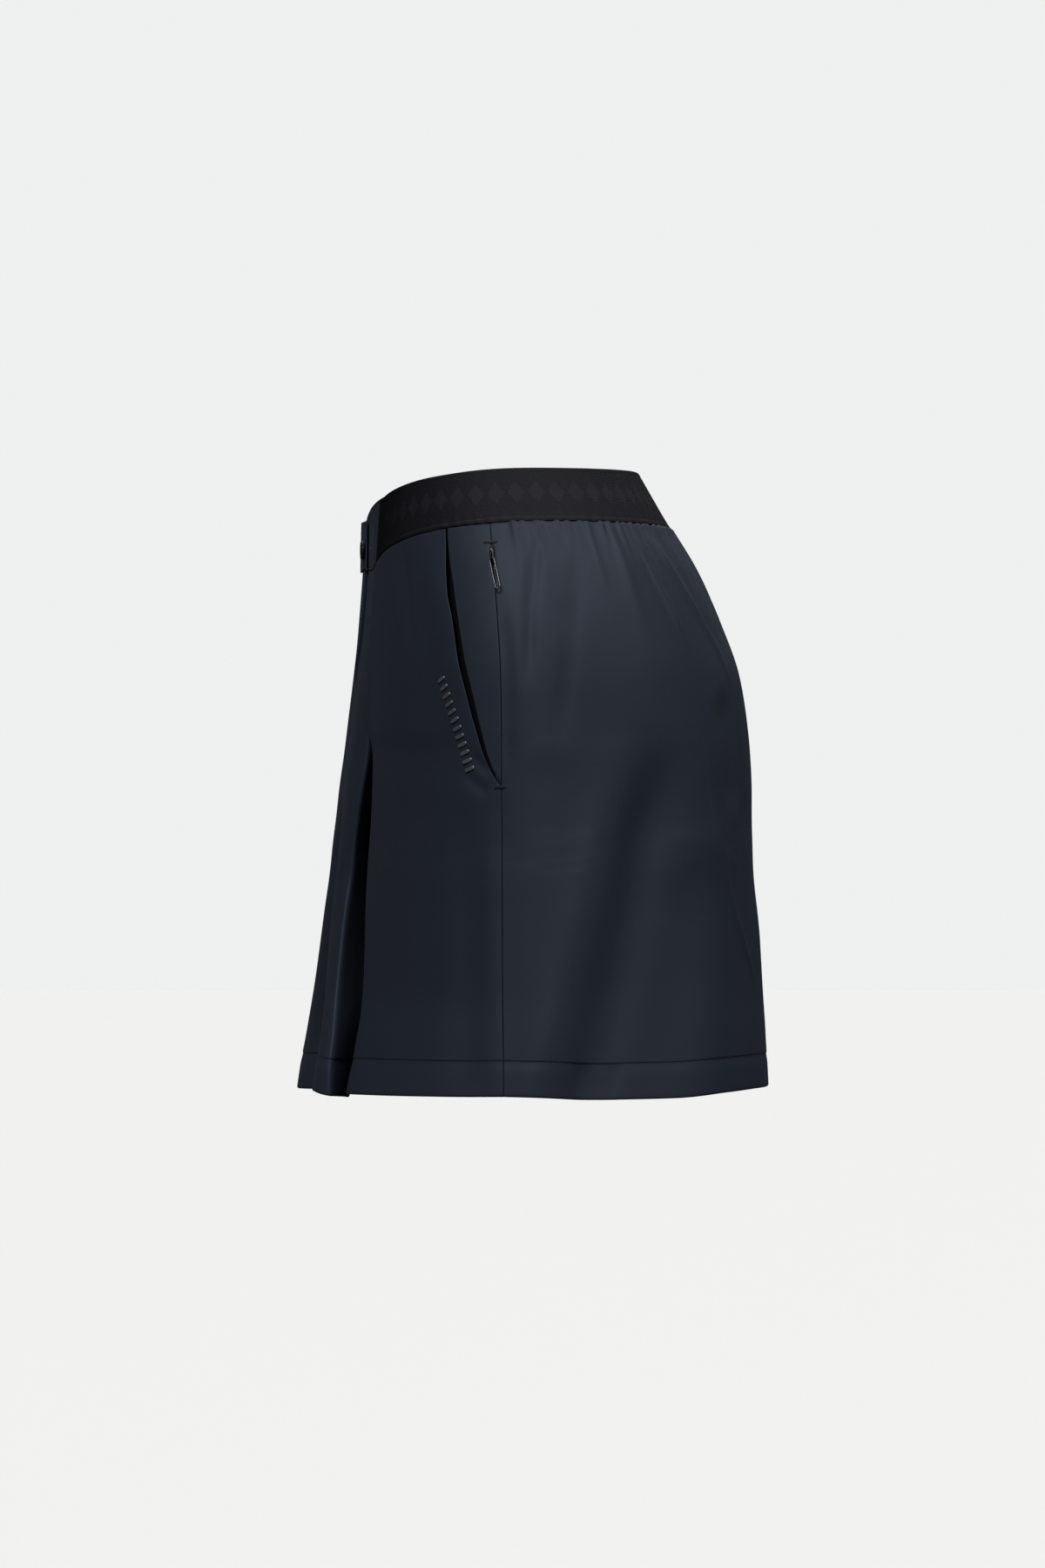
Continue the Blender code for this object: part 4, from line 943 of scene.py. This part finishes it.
def back_seam(height):
    """The place of the centre back seam, just short of the middle."""
    return mark(7)(height) - 0.15


for side, folds, mirrored in (("left", FOLDS_LEFT, False), ("right", FOLDS_RIGHT, True)):
    name = f"{side}_seam_allowance"
    lay_allowance(name, side_seam, SIDE_ALLOWANCE_FOOT, folds, pocket_part, mirrored)
lay_allowance(
    "back_seam_allowance", back_seam, BACK_ALLOWANCE_FOOT, FOLDS_LEFT,
    deeper=lambda height: 0 * height, mirrored=False, both_ways=True,
)


# ------------------------------------------------------------------ raised bars
# A ladder of short rounded bars of dark glossy rubber, printed thick beside the left pocket mouth.

def raised_rubber():
    """Dark glossy rubber print with a faintly pebbled skin."""
    made, tree, shader = start_material("raised_rubber", {
        "Base Color": (0.040, 0.043, 0.050, 1),
        "Roughness": 0.34,
        "Specular IOR Level": 0.7,
    })
    pebbles = noise(tree, tree.nodes.new("ShaderNodeTexCoord").outputs["Object"], 1500)
    skin = bump(tree, pebbles, 0.25, 0.00008)
    tree.links.new(skin.outputs["Normal"], shader.inputs["Normal"])
    return made


BAR_COUNT, BAR_LENGTH, BAR_WIDTH, BAR_RISE = 12, 7.6, 2.5, 0.7
BAR_TOP, BAR_FOOT = -106, -161
BAR_GIRTHS = (-42.5, -31.0, -22.0)
BAR_SIDES = 20
# share of the bar's outline, height over the cloth
BAR_RINGS = ((1.0, -0.25), (1.0, BAR_RISE * 0.6), (0.9, BAR_RISE * 0.95), (0.6, BAR_RISE))


def lay_bars():
    """Each bar is a stack of four rounded outlines, |x|^4 + |y|^4 = 1 times its half length and half
    width, the upper ones smaller, up to its flat top."""
    share = np.linspace(0, 1, BAR_COUNT)
    level = BAR_TOP + (BAR_FOOT - BAR_TOP) * share
    place = side_seam(level) + np.interp(share, (0, 0.5, 1), BAR_GIRTHS)
    middle = read_grid(front_points, CLOTH_ROWS, front_place, zip(place, level))
    right = read_grid(front_points, CLOTH_ROWS, front_place, zip(place + 1, level)) - middle
    run = np.gradient(middle, axis=0)
    run /= np.linalg.norm(run, axis=1, keepdims=True)
    normal = np.cross(run, right)
    normal /= np.linalg.norm(normal, axis=1, keepdims=True)
    across = np.cross(normal, run)
    turn = np.arange(BAR_SIDES) * 2 * math.pi / BAR_SIDES
    x = np.sign(np.cos(turn)) * np.abs(np.cos(turn)) ** 0.5 * BAR_LENGTH / 2
    y = np.sign(np.sin(turn)) * np.abs(np.sin(turn)) ** 0.5 * BAR_WIDTH / 2
    size, rise = np.array(BAR_RINGS).T[:, None, :, None, None]
    x, y = x[:, None], y[:, None]
    across, run, normal = (direction[:, None, None] for direction in (across, run, normal))
    rings = middle[:, None, None] + size * (across * x + run * y) + normal * rise
    side = np.arange(BAR_SIDES)
    last_ring = (len(BAR_RINGS) - 1) * BAR_SIDES
    offsets = (np.arange(BAR_COUNT) * len(BAR_RINGS) * BAR_SIDES)[:, None, None]
    quads = (ring_quads(len(BAR_RINGS), BAR_SIDES) + offsets).reshape(-1, 4)
    caps = (np.stack([last_ring + side, side[::-1]]) + offsets).reshape(-1, BAR_SIDES)
    small_piece("pocket_bars", rings, quads.tolist() + caps.tolist(), raised_rubber())


lay_bars()


# ------------------------------------------------------------------ bartacks
# Dense little bars of thread across the foot of each pocket mouth and the top of each zip.

BARTACK_PITCH, BARTACK_HALF, BARTACK_THREAD_HALF = 0.42, 0.9, 0.26


def lay_bartack(name, girth, level, length, mirrored):
    """Two lengthwise threads under a close row of upright ones, on the form's outer face."""
    span = np.linspace(-length / 2, length / 2, int(length / BARTACK_PITCH))
    place = side_seam(np.full(span.shape, level)) + girth + span

    def outer(height_shift, proud):
        height = np.full(span.shape, level) + height_shift
        points, normals = on_form(way_of(place, height), height)
        return (points + normals * (WALL_HALF + proud)) * (-1 if mirrored else 1, 1, 1)

    upper, lower = outer(0.3, 0.05), outer(-0.3, 0.05)
    starts = np.concatenate([outer(-BARTACK_HALF, 0.2), upper[:1], lower[:1]])
    ends = np.concatenate([outer(BARTACK_HALF, 0.2), upper[-1:], lower[-1:]])
    lay_rods(name, starts, ends, BARTACK_THREAD_HALF, thread, "cloth")


for side, mirrored in (("left", False), ("right", True)):
    lay_bartack(f"{side}_pocket_bartack", girth=-0.5, level=-172.2, length=6.4, mirrored=mirrored)
    lay_bartack(f"{side}_zip_bartack", girth=-0.3, level=-21.4, length=8.2, mirrored=mirrored)


# ------------------------------------------------------------------ zips
# A fine nylon coil zip in each side seam, closed, on a woven tape behind the cloth. It shows only where
# the seam's edges part round the slider.

def nylon():
    """Black nylon with a little wear."""
    made, tree, shader = start_material("nylon_coil", {"Roughness": 0.28})
    rub = noise(tree, tree.nodes.new("ShaderNodeTexCoord").outputs["Object"], 700)
    mix_colour(tree, shader, rub, (0.004, 0.004, 0.005), (0.011, 0.011, 0.013))
    return made


coil_nylon = nylon()


COIL_TOP, COIL_FOOT, COIL_PITCH = -22.6, -46, 0.95
COIL_HALF, COIL_SINK, CROWN_HALF = 1.0, 1.1, 0.36
TAPE_TOP, TAPE_FOOT, TAPE_HALF, TAPE_SINK, TAPE_THICKNESS = -20.0, -62, 6.5, 2.1, 0.5


def lay_zip(side, mirrored):
    """The coil's crowns are rods across the seam, 0.95 mm apart. The tape is a strip of the form behind
    it. Both lie sunk behind the form's outer face."""
    level = np.arange(COIL_TOP, COIL_FOOT, -COIL_PITCH)
    flip = np.array((-1 if mirrored else 1, 1, 1))

    def sunk(height, across, sink):
        place = side_seam(height) + across
        points, normals = on_form(way_of(place, height), height)
        return points + normals * (WALL_HALF - sink)

    starts, ends = (sunk(level, across, COIL_SINK) * flip for across in (-COIL_HALF, COIL_HALF))
    lay_rods(f"{side}_zip_coil", starts, ends, CROWN_HALF, coil_nylon, "metal")
    rows = np.arange(TAPE_TOP, TAPE_FOOT, -2.0)[:, None] + np.zeros((1, 7))
    columns = np.linspace(-TAPE_HALF, TAPE_HALF, 7)[None] + np.zeros_like(rows)
    points, uv = sunk(rows, columns, TAPE_SINK), np.stack([columns, rows], axis=-1)
    tape = sew_piece(f"{side}_zip_tape", points, uv, TAPE_THICKNESS, cloth, mirrored, None)


lay_zip("left", False)
lay_zip("right", True)


# ------------------------------------------------------------------ waistband elastic
# A broad woven elastic, black and matt, fine ribs along it and a firm narrow selvage at both edges. It
# runs from the left pleat round the back to the right one, stretched onto the gathered cloth.

BAND_TOP_LEFT = (
    (0, -4.4), (0.12, -3.2), (0.2, 1.6), (0.35, 6.2), (0.465, 11.0), (0.72, 18.0), (0.88, 21.6), (1, 25.0),
)
BAND_TOP_RIGHT = (
    (0, -4.4), (0.2, -4.4), (0.3, -3.8), (0.35, -0.8), (0.465, 6.4), (0.72, 16.6), (0.88, 21.6), (1, 25.0),
)
BAND_TOP_BACK = ((0, 23.6), (0.6, 25.0), (1, 25.0))


def band_edge(share, front_rows, back_rows):
    """Points of one edge of the elastic: share 0 is its front end and 1 the back middle. The height comes
    from the X share there, and X from the height, so it is worked out in turns."""
    height = np.zeros_like(share)
    for _ in range(7):
        marks = marks_at(height)
        place = marks[4] + (marks[7] - marks[4]) * share
        x = on_form(way_of(place, height), height)[0][..., 0]
        x_share = np.clip(x / read_table(height, BACK_ROWS), 0, 1)
        front, back = read_table(x_share, front_rows), read_table(x_share, back_rows)
        height = np.where(place > marks[5], back, front)
    return on_form(way_of(place, height), height)[0]


def smooth_line(points, reach):
    """Evens out a line of points with a bell-shaped average along it."""
    count = 3 * reach
    before = 2 * points[:1] - points[count:0:-1]
    after = 2 * points[-1:] - points[-2 : -count - 2 : -1]
    longer = np.vstack([before, points, after])
    weights = bell_weights(count, reach * 1.41)
    return np.column_stack([np.convolve(longer[:, k], weights, "valid") for k in range(3)])


BAND_LENGTH, BAND_WIDTH = 0.64, 38.0
LOZENGE_PITCH, LOZENGE_MIDDLE, LOZENGE_HALF = 0.0135, 0.0205, 0.0082
HAIRLINE_UP = 0.0030


def ramp(tree, value, reads=(0.0, 1.0), gives=(0.0, 1.0)):
    """A straight ramp from the one pair of numbers to the other, level past its ends."""
    slope = tree.nodes.new("ShaderNodeMapRange")
    for socket, end in zip(("From Min", "From Max", "To Min", "To Max"), (*reads, *gives)):
        slope.inputs[socket].default_value = end
    tree.links.new(value, slope.inputs["Value"])
    return slope.outputs["Result"]


def ribbed_elastic():
    """Woven elastic, near black: close ribs along it, fine yarns across, a row of faint lozenges, and a
    hairline above its foot, all darkened by painted shade over the last 60 mm towards its two ends."""
    made, tree, shader = start_material("woven_elastic", {"Roughness": 0.6, "Specular IOR Level": 0.05})
    where, x, y = read_uv(tree)
    knit = crossed_threads(tree, y, 0.0009, x, 0.0006)
    grain = noise(tree, where, 700, detail=3)
    turns = number(tree, "FRACT", number(tree, "MULTIPLY", x, 1 / LOZENGE_PITCH))
    aside = number(tree, "ABSOLUTE", number(tree, "SUBTRACT", turns, 0.5))
    above = number(tree, "ABSOLUTE", number(tree, "SUBTRACT", y, LOZENGE_MIDDLE))
    above = number(tree, "MULTIPLY", above, 1 / LOZENGE_HALF)
    away = number(tree, "ADD", number(tree, "MULTIPLY", aside, 2.25), above)
    lozenge = ramp(tree, away, (1.0, 0.90), (0.0, 0.22))
    off_line = number(tree, "ABSOLUTE", number(tree, "SUBTRACT", y, HAIRLINE_UP))
    hairline = ramp(tree, off_line, (0.00045, 0.0002), (0.0, 0.40))
    tone = number(tree, "ADD", lozenge, hairline)
    tone = number(tree, "ADD", tone, number(tree, "MULTIPLY", grain, 0.55))
    # Painted shade: the colour darkens over the last 60 mm towards each end of the band.
    from_end = number(tree, "MINIMUM", x, number(tree, "SUBTRACT", BAND_LENGTH, x))
    tone = number(tree, "MULTIPLY", tone, ramp(tree, from_end, (0.014, 0.060)))
    mix_colour(tree, shader, tone, (0.0022, 0.0020, 0.0026), (0.0165, 0.0152, 0.0198))
    fine = bump(tree, knit, 0.5, 0.0001)
    tree.links.new(fine.outputs["Normal"], shader.inputs["Normal"])
    return made


elastic = ribbed_elastic()
BAND_HALF, BAND_THICKNESS = 0.9, 1.3
BAND_ROLL_SHARE, BAND_ROLL_DEPTH = 0.02, 0.55


def lay_elastic():
    """Straight lines between the top and foot edges, raised by half the wall, with rolled selvages and a
    slight wave at the foot, where the cloth is gathered onto it."""
    shares = np.concatenate([[0.0, 0.0006, 0.0015, 0.003], np.linspace(0.006, 1, 190)])
    edges = []
    for left_rows, right_rows, back_rows in (
        (BAND_TOP_LEFT, BAND_TOP_RIGHT, BAND_TOP_BACK),
        (BAND_FOOT_FRONT, BAND_FOOT_FRONT, BAND_FOOT_BACK),
    ):
        left, right = (band_edge(shares, rows, back_rows) for rows in (left_rows, right_rows))
        edges.append(smooth_line(np.vstack([left, (right * (-1, 1, 1))[-2::-1]]), 2))
    top, foot = edges
    across = np.array([
        0, 0.006, 0.02, 0.045, 0.08, 0.11, *np.linspace(0.15, 0.85, 22), 0.89, 0.92, 0.955, 0.98, 0.994, 1,
    ])
    points = top[None] * (1 - across[:, None, None]) + foot[None] * across[:, None, None]
    along, down = np.gradient(points, axis=1), np.gradient(points, axis=0)
    normals = np.cross(down, along)
    normals /= np.linalg.norm(normals, axis=2, keepdims=True)
    length = np.concatenate([[0], np.cumsum(np.linalg.norm(np.diff(foot, axis=0), axis=1))])
    edge = np.minimum(across, 1 - across)[:, None]
    selvage = 0.12 * hump(edge, 0.035, 0.018) - 0.10 * hump(edge, 0.075, 0.012)
    wave = 0.35 * np.sin(length * 0.72 + 1.3 * np.sin(length * 0.11)) * ease(across[:, None], 0.75, 1.0)
    gathered = ease(length, 60, 110) * ease(length, length[-1] - 60, length[-1] - 110)
    roll = edge_roll(edge, BAND_ROLL_SHARE, BAND_ROLL_DEPTH)
    relief = BAND_HALF - roll + selvage + wave * gathered[None, :]
    points = points + normals * relief[..., None]
    uv = np.stack(np.broadcast_arrays(length[None], BAND_WIDTH * (1 - across)[:, None]), axis=-1)
    piece = sew_piece("elastic_band", points, uv, BAND_THICKNESS, elastic, False, "waist_elastic")


lay_elastic()


# ------------------------------------------------------------------ waistband tabs
# Between the pleats the waistband is the cloth itself, doubled over a stiffener, in two tabs. The right
# one laps over the left and is closed with the button. Both are edge-stitched.

UNDER_TAB_END, OVER_TAB_END = -28.0, 18.0
TAB_HALF, TAB_THICKNESS = 0.8, 1.2
TAB_WIDTH, TAB_LENGTH = 30.0, 75.0
TAB_ROLL_REACH, TAB_ROLL_DEPTH = 0.9, 0.7
TAB_STITCH_IN, TAB_GROOVE = 2.2, 0.18


def tab_edge(x, rows):
    """Points of one edge of a tab at the given X: the height by the X share, Y from the form there."""
    height = np.zeros_like(x)
    for _ in range(5):
        height = read_table(np.abs(x) / read_table(height, BACK_ROWS), rows)
    ways = np.linspace(0, 4, 400)
    found = np.empty_like(x)
    for k, (here, level) in enumerate(zip(np.abs(x), height)):
        line = on_form(ways, np.full(ways.shape, level))[0]
        found[k] = np.interp(here, line[:, 0], line[:, 1])
    return np.column_stack([x, found, height])


def lay_tab(name, node, start, end, top_rows, proud):
    """Straight lines between the tab's top and foot edges, rolled at its four sides, with a groove where
    it is stitched. The stitches run along its top, its foot and its free end."""
    share = np.concatenate([[0, 0.004, 0.012, 0.028], np.linspace(0.05, 0.95, 44), [0.972, 0.988, 0.996, 1]])
    edges = []
    for k, rows in enumerate((top_rows, BAND_FOOT_FRONT)):
        x = start[k] + (end[k] - start[k]) * share
        line = tab_edge(x, rows)
        if rows is BAND_TOP_LEFT:
            line = np.where((x < 0)[:, None], tab_edge(x, BAND_TOP_RIGHT), line)
        edges.append(line)
    top, foot = edges
    proud_by = proud(foot[:, 0])
    across = np.array([
        0, 0.005, 0.015, 0.035, 0.07, 0.1, *np.linspace(0.14, 0.86, 14), 0.9, 0.93, 0.965, 0.985, 0.995, 1,
    ])
    points = top[None] * (1 - across[:, None, None]) + foot[None] * across[:, None, None]
    down, along = np.gradient(points, axis=0), np.gradient(points, axis=1)
    normals = np.cross(down, along)
    normals /= np.linalg.norm(normals, axis=2, keepdims=True)
    from_top_or_foot = np.minimum(across, 1 - across)[:, None] * TAB_WIDTH
    edge = np.minimum(from_top_or_foot, np.minimum(share, 1 - share)[None] * TAB_LENGTH)
    groove = TAB_GROOVE * hump(edge, TAB_STITCH_IN, 0.45)
    relief = TAB_HALF - edge_roll(edge, TAB_ROLL_REACH, TAB_ROLL_DEPTH) - groove
    points = points + normals * relief[..., None]
    points[..., 1] -= proud_by[None, :]
    uv = np.stack(np.broadcast_arrays(foot[None, :, 0], -TAB_WIDTH * across[:, None]), axis=-1)
    piece = sew_piece(name, points, uv, TAB_THICKNESS, cloth, False, node)
    columns = (share > 0.028) & (share < 0.972)
    rows = [int(np.argmin(np.abs(across - a))) for a in (0.07, 0.93)]
    free_column = np.argmin(np.abs(share - (0.972 if proud_by.any() else 0.028)))
    lines = [points[row][columns] for row in rows] + [points[rows[0] : rows[1] + 1, free_column]]
    runs = [stitches_along(line, STITCH_PITCH, STITCH_LENGTH) for line in lines]
    starts, ends = (np.concatenate([run[k] for run in runs]) for k in (0, 1))
    lay_rods(f"{name}_stitches", starts, ends, TOP_THREAD_HALF, thread, "cloth")


def level_tab(x):
    """Level with the band all along."""
    return 0.0 * x


def lapping_tab(x):
    """Level with the band at first, then up onto the under tab."""
    return 2.0 * ease(x, -42, -31)


def outer_ends(top_rows):
    """X where a tab butts against the elastic, at the top and at the foot, a seam's gap from it."""
    front_end = np.array([0.0])
    edges = [band_edge(front_end, rows, BAND_TOP_BACK) for rows in (top_rows, BAND_FOOT_FRONT)]
    return [edge[0, 0] - 2 * SEAM_GAP for edge in edges]


left_ends = outer_ends(BAND_TOP_LEFT)
right_ends = [-x for x in outer_ends(BAND_TOP_RIGHT)]
lay_tab("under_tab", "waist_tab_left", [UNDER_TAB_END] * 2, left_ends, BAND_TOP_LEFT, level_tab)
lay_tab("over_tab", "waist_tab_right", right_ends, [OVER_TAB_END] * 2, BAND_TOP_RIGHT, lapping_tab)


# ------------------------------------------------------------------ button
# A moulded black button with a raised rim and four holes. It keeps its solid's shape.

def moulded_plastic():
    """Glossy black plastic with a faint haze."""
    made, tree, shader = start_material("moulded_button", {
        "Base Color": (0.006, 0.006, 0.008, 1),
        "Coat Weight": 0.4,
        "Coat Roughness": 0.08,
    })
    haze = noise(tree, tree.nodes.new("ShaderNodeTexCoord").outputs["Object"], 600)
    tree.links.new(ramp(tree, haze, gives=(0.16, 0.28)), shader.inputs["Roughness"])
    return made


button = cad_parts["waist_button"]
button.data.materials.clear()
button.data.materials.append(moulded_plastic())
button_low, button_high = (np.array(corner) * 1000 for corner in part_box("waist_button"))
button_middle = (button_low + button_high) / 2
HOLE_OFFSET, STRAND_OFFSET, DISH_DEPTH, STRAND_HALF = 1.3, 0.22, 0.9, 0.24
loops = np.array([
    (side * HOLE_OFFSET + strand, 0.0, end * HOLE_OFFSET)
    for side in (-1, 1) for strand in (-STRAND_OFFSET, STRAND_OFFSET) for end in (-1, 1)
])
loops += (button_middle[0], button_low[1] + DISH_DEPTH - 0.1, button_middle[2])
lay_rods("button_thread", loops[0::2], loops[1::2], STRAND_HALF, thread, "button")


# ------------------------------------------------------------------ zip sliders and pulls
# Small die-cast sliders on the side seams, coloured near black as painted shade, each with a plated wire
# pull.

def plated(name, tint, gloss_range):
    """Plated metal of one tint, with fine wear in its gloss."""
    made, tree, shader = start_material(name, {"Base Color": (*tint, 1), "Metallic": 1.0})
    wear = noise(tree, tree.nodes.new("ShaderNodeTexCoord").outputs["Object"], 900, detail=4)
    tree.links.new(ramp(tree, wear, gives=gloss_range), shader.inputs["Roughness"])
    return made


# Painted shade: the sliders' near-black tint stands in for the shade round them in the seam.
painted_shade_plating = plated("painted_shade_plating", (0.022, 0.022, 0.025), (0.22, 0.34))
bright_plating = plated("bright_plating", (0.21, 0.205, 0.21), (0.20, 0.30))
for side in ("left", "right"):
    for name, plating in ((f"zip_slider_{side}", painted_shade_plating), (f"zip_pull_{side}", bright_plating)):
        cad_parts[name].data.materials.clear()
        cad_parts[name].data.materials.append(plating)


# ------------------------------------------------------------------ studio
# The shorts hang at a wearer's waist height over a plain pale floor, in soft light from large lamps.
# The camera stands at the wearer's left, a little in front, at the height of the hips.

FLOOR_RADIUS, FLOOR_HEIGHT, FLOOR_SIDES = 30, -0.95, 96


def pale_floor():
    """A flat disc of matt pale paint."""
    turn = np.linspace(0, 2 * math.pi, FLOOR_SIDES, endpoint=False)
    x, y = FLOOR_RADIUS * np.cos(turn), FLOOR_RADIUS * np.sin(turn)
    rim = np.column_stack([x, y, np.full(FLOOR_SIDES, FLOOR_HEIGHT)])
    mesh = bpy.data.meshes.new("floor")
    mesh.from_pydata(rim.tolist(), [], [tuple(range(FLOOR_SIDES))])
    paint = {"Base Color": (0.515, 0.514, 0.512, 1), "Roughness": 0.8}
    mesh.materials.append(start_material("pale_floor", paint)[0])
    floor = bpy.data.objects.new("floor", mesh)
    bpy.context.scene.collection.objects.link(floor)
    floor.visible_diffuse = False
    floor.visible_glossy = False


pale_floor()
AIM = np.array((0.0, 0.0045, -0.170))


def place_at(azimuth, elevation, distance):
    """A point round the aim: azimuth 0 is in front, 90 at the wearer's left."""
    a, e = math.radians(azimuth), math.radians(elevation)
    return AIM + distance * np.array((math.sin(a) * math.cos(e), -math.cos(a) * math.cos(e), math.sin(e)))


def turn_to_aim(thing):
    """Turns a camera or a lamp, which look along their own -Z, to face the aim."""
    thing.rotation_euler = Vector(AIM - np.array(thing.location)).to_track_quat("-Z", "Y").to_euler()


CAMERA_AZIMUTH, CAMERA_DISTANCE, SEEN_HEIGHT, SENSOR = 85, 6.0, 0.99, 36.0
camera = bpy.data.objects.new("camera", bpy.data.cameras.new("camera"))
camera.data.sensor_width = SENSOR
camera.data.lens = SENSOR * CAMERA_DISTANCE / SEEN_HEIGHT
camera.location = place_at(CAMERA_AZIMUTH, 0, CAMERA_DISTANCE)
turn_to_aim(camera)
bpy.context.scene.collection.objects.link(camera)
bpy.context.scene.camera = camera

# azimuth, elevation, width in degrees, strength
LAMPS = (
    (62, 44, 16, 3.5),
    (141, 54, 30, 2.9),
    (240, 45, 40, 0.5),
    (300, 70, 40, 0.3),
)
for index, (azimuth, elevation, width, power) in enumerate(LAMPS):
    lamp = bpy.data.lights.new(f"lamp_{index}", "SUN")
    lamp.angle = math.radians(width)
    lamp.energy = power
    holder = bpy.data.objects.new(f"lamp_{index}", lamp)
    holder.location = place_at(azimuth, elevation, 3.0)
    turn_to_aim(holder)
    bpy.context.scene.collection.objects.link(holder)

# The room is a bright background to the camera and gives the shorts only a weak light of its own.
world = bpy.data.worlds.new("room")
world.use_nodes = True
room = world.node_tree
seen = room.nodes.new("ShaderNodeLightPath").outputs["Is Camera Ray"]
room.links.new(ramp(room, seen, gives=(0.05, 0.90)), room.nodes["Background"].inputs["Strength"])
room.nodes["Background"].inputs["Color"].default_value = (0.96, 0.965, 0.97, 1)
bpy.context.scene.world = world
bpy.context.scene.view_settings.view_transform = "Standard"
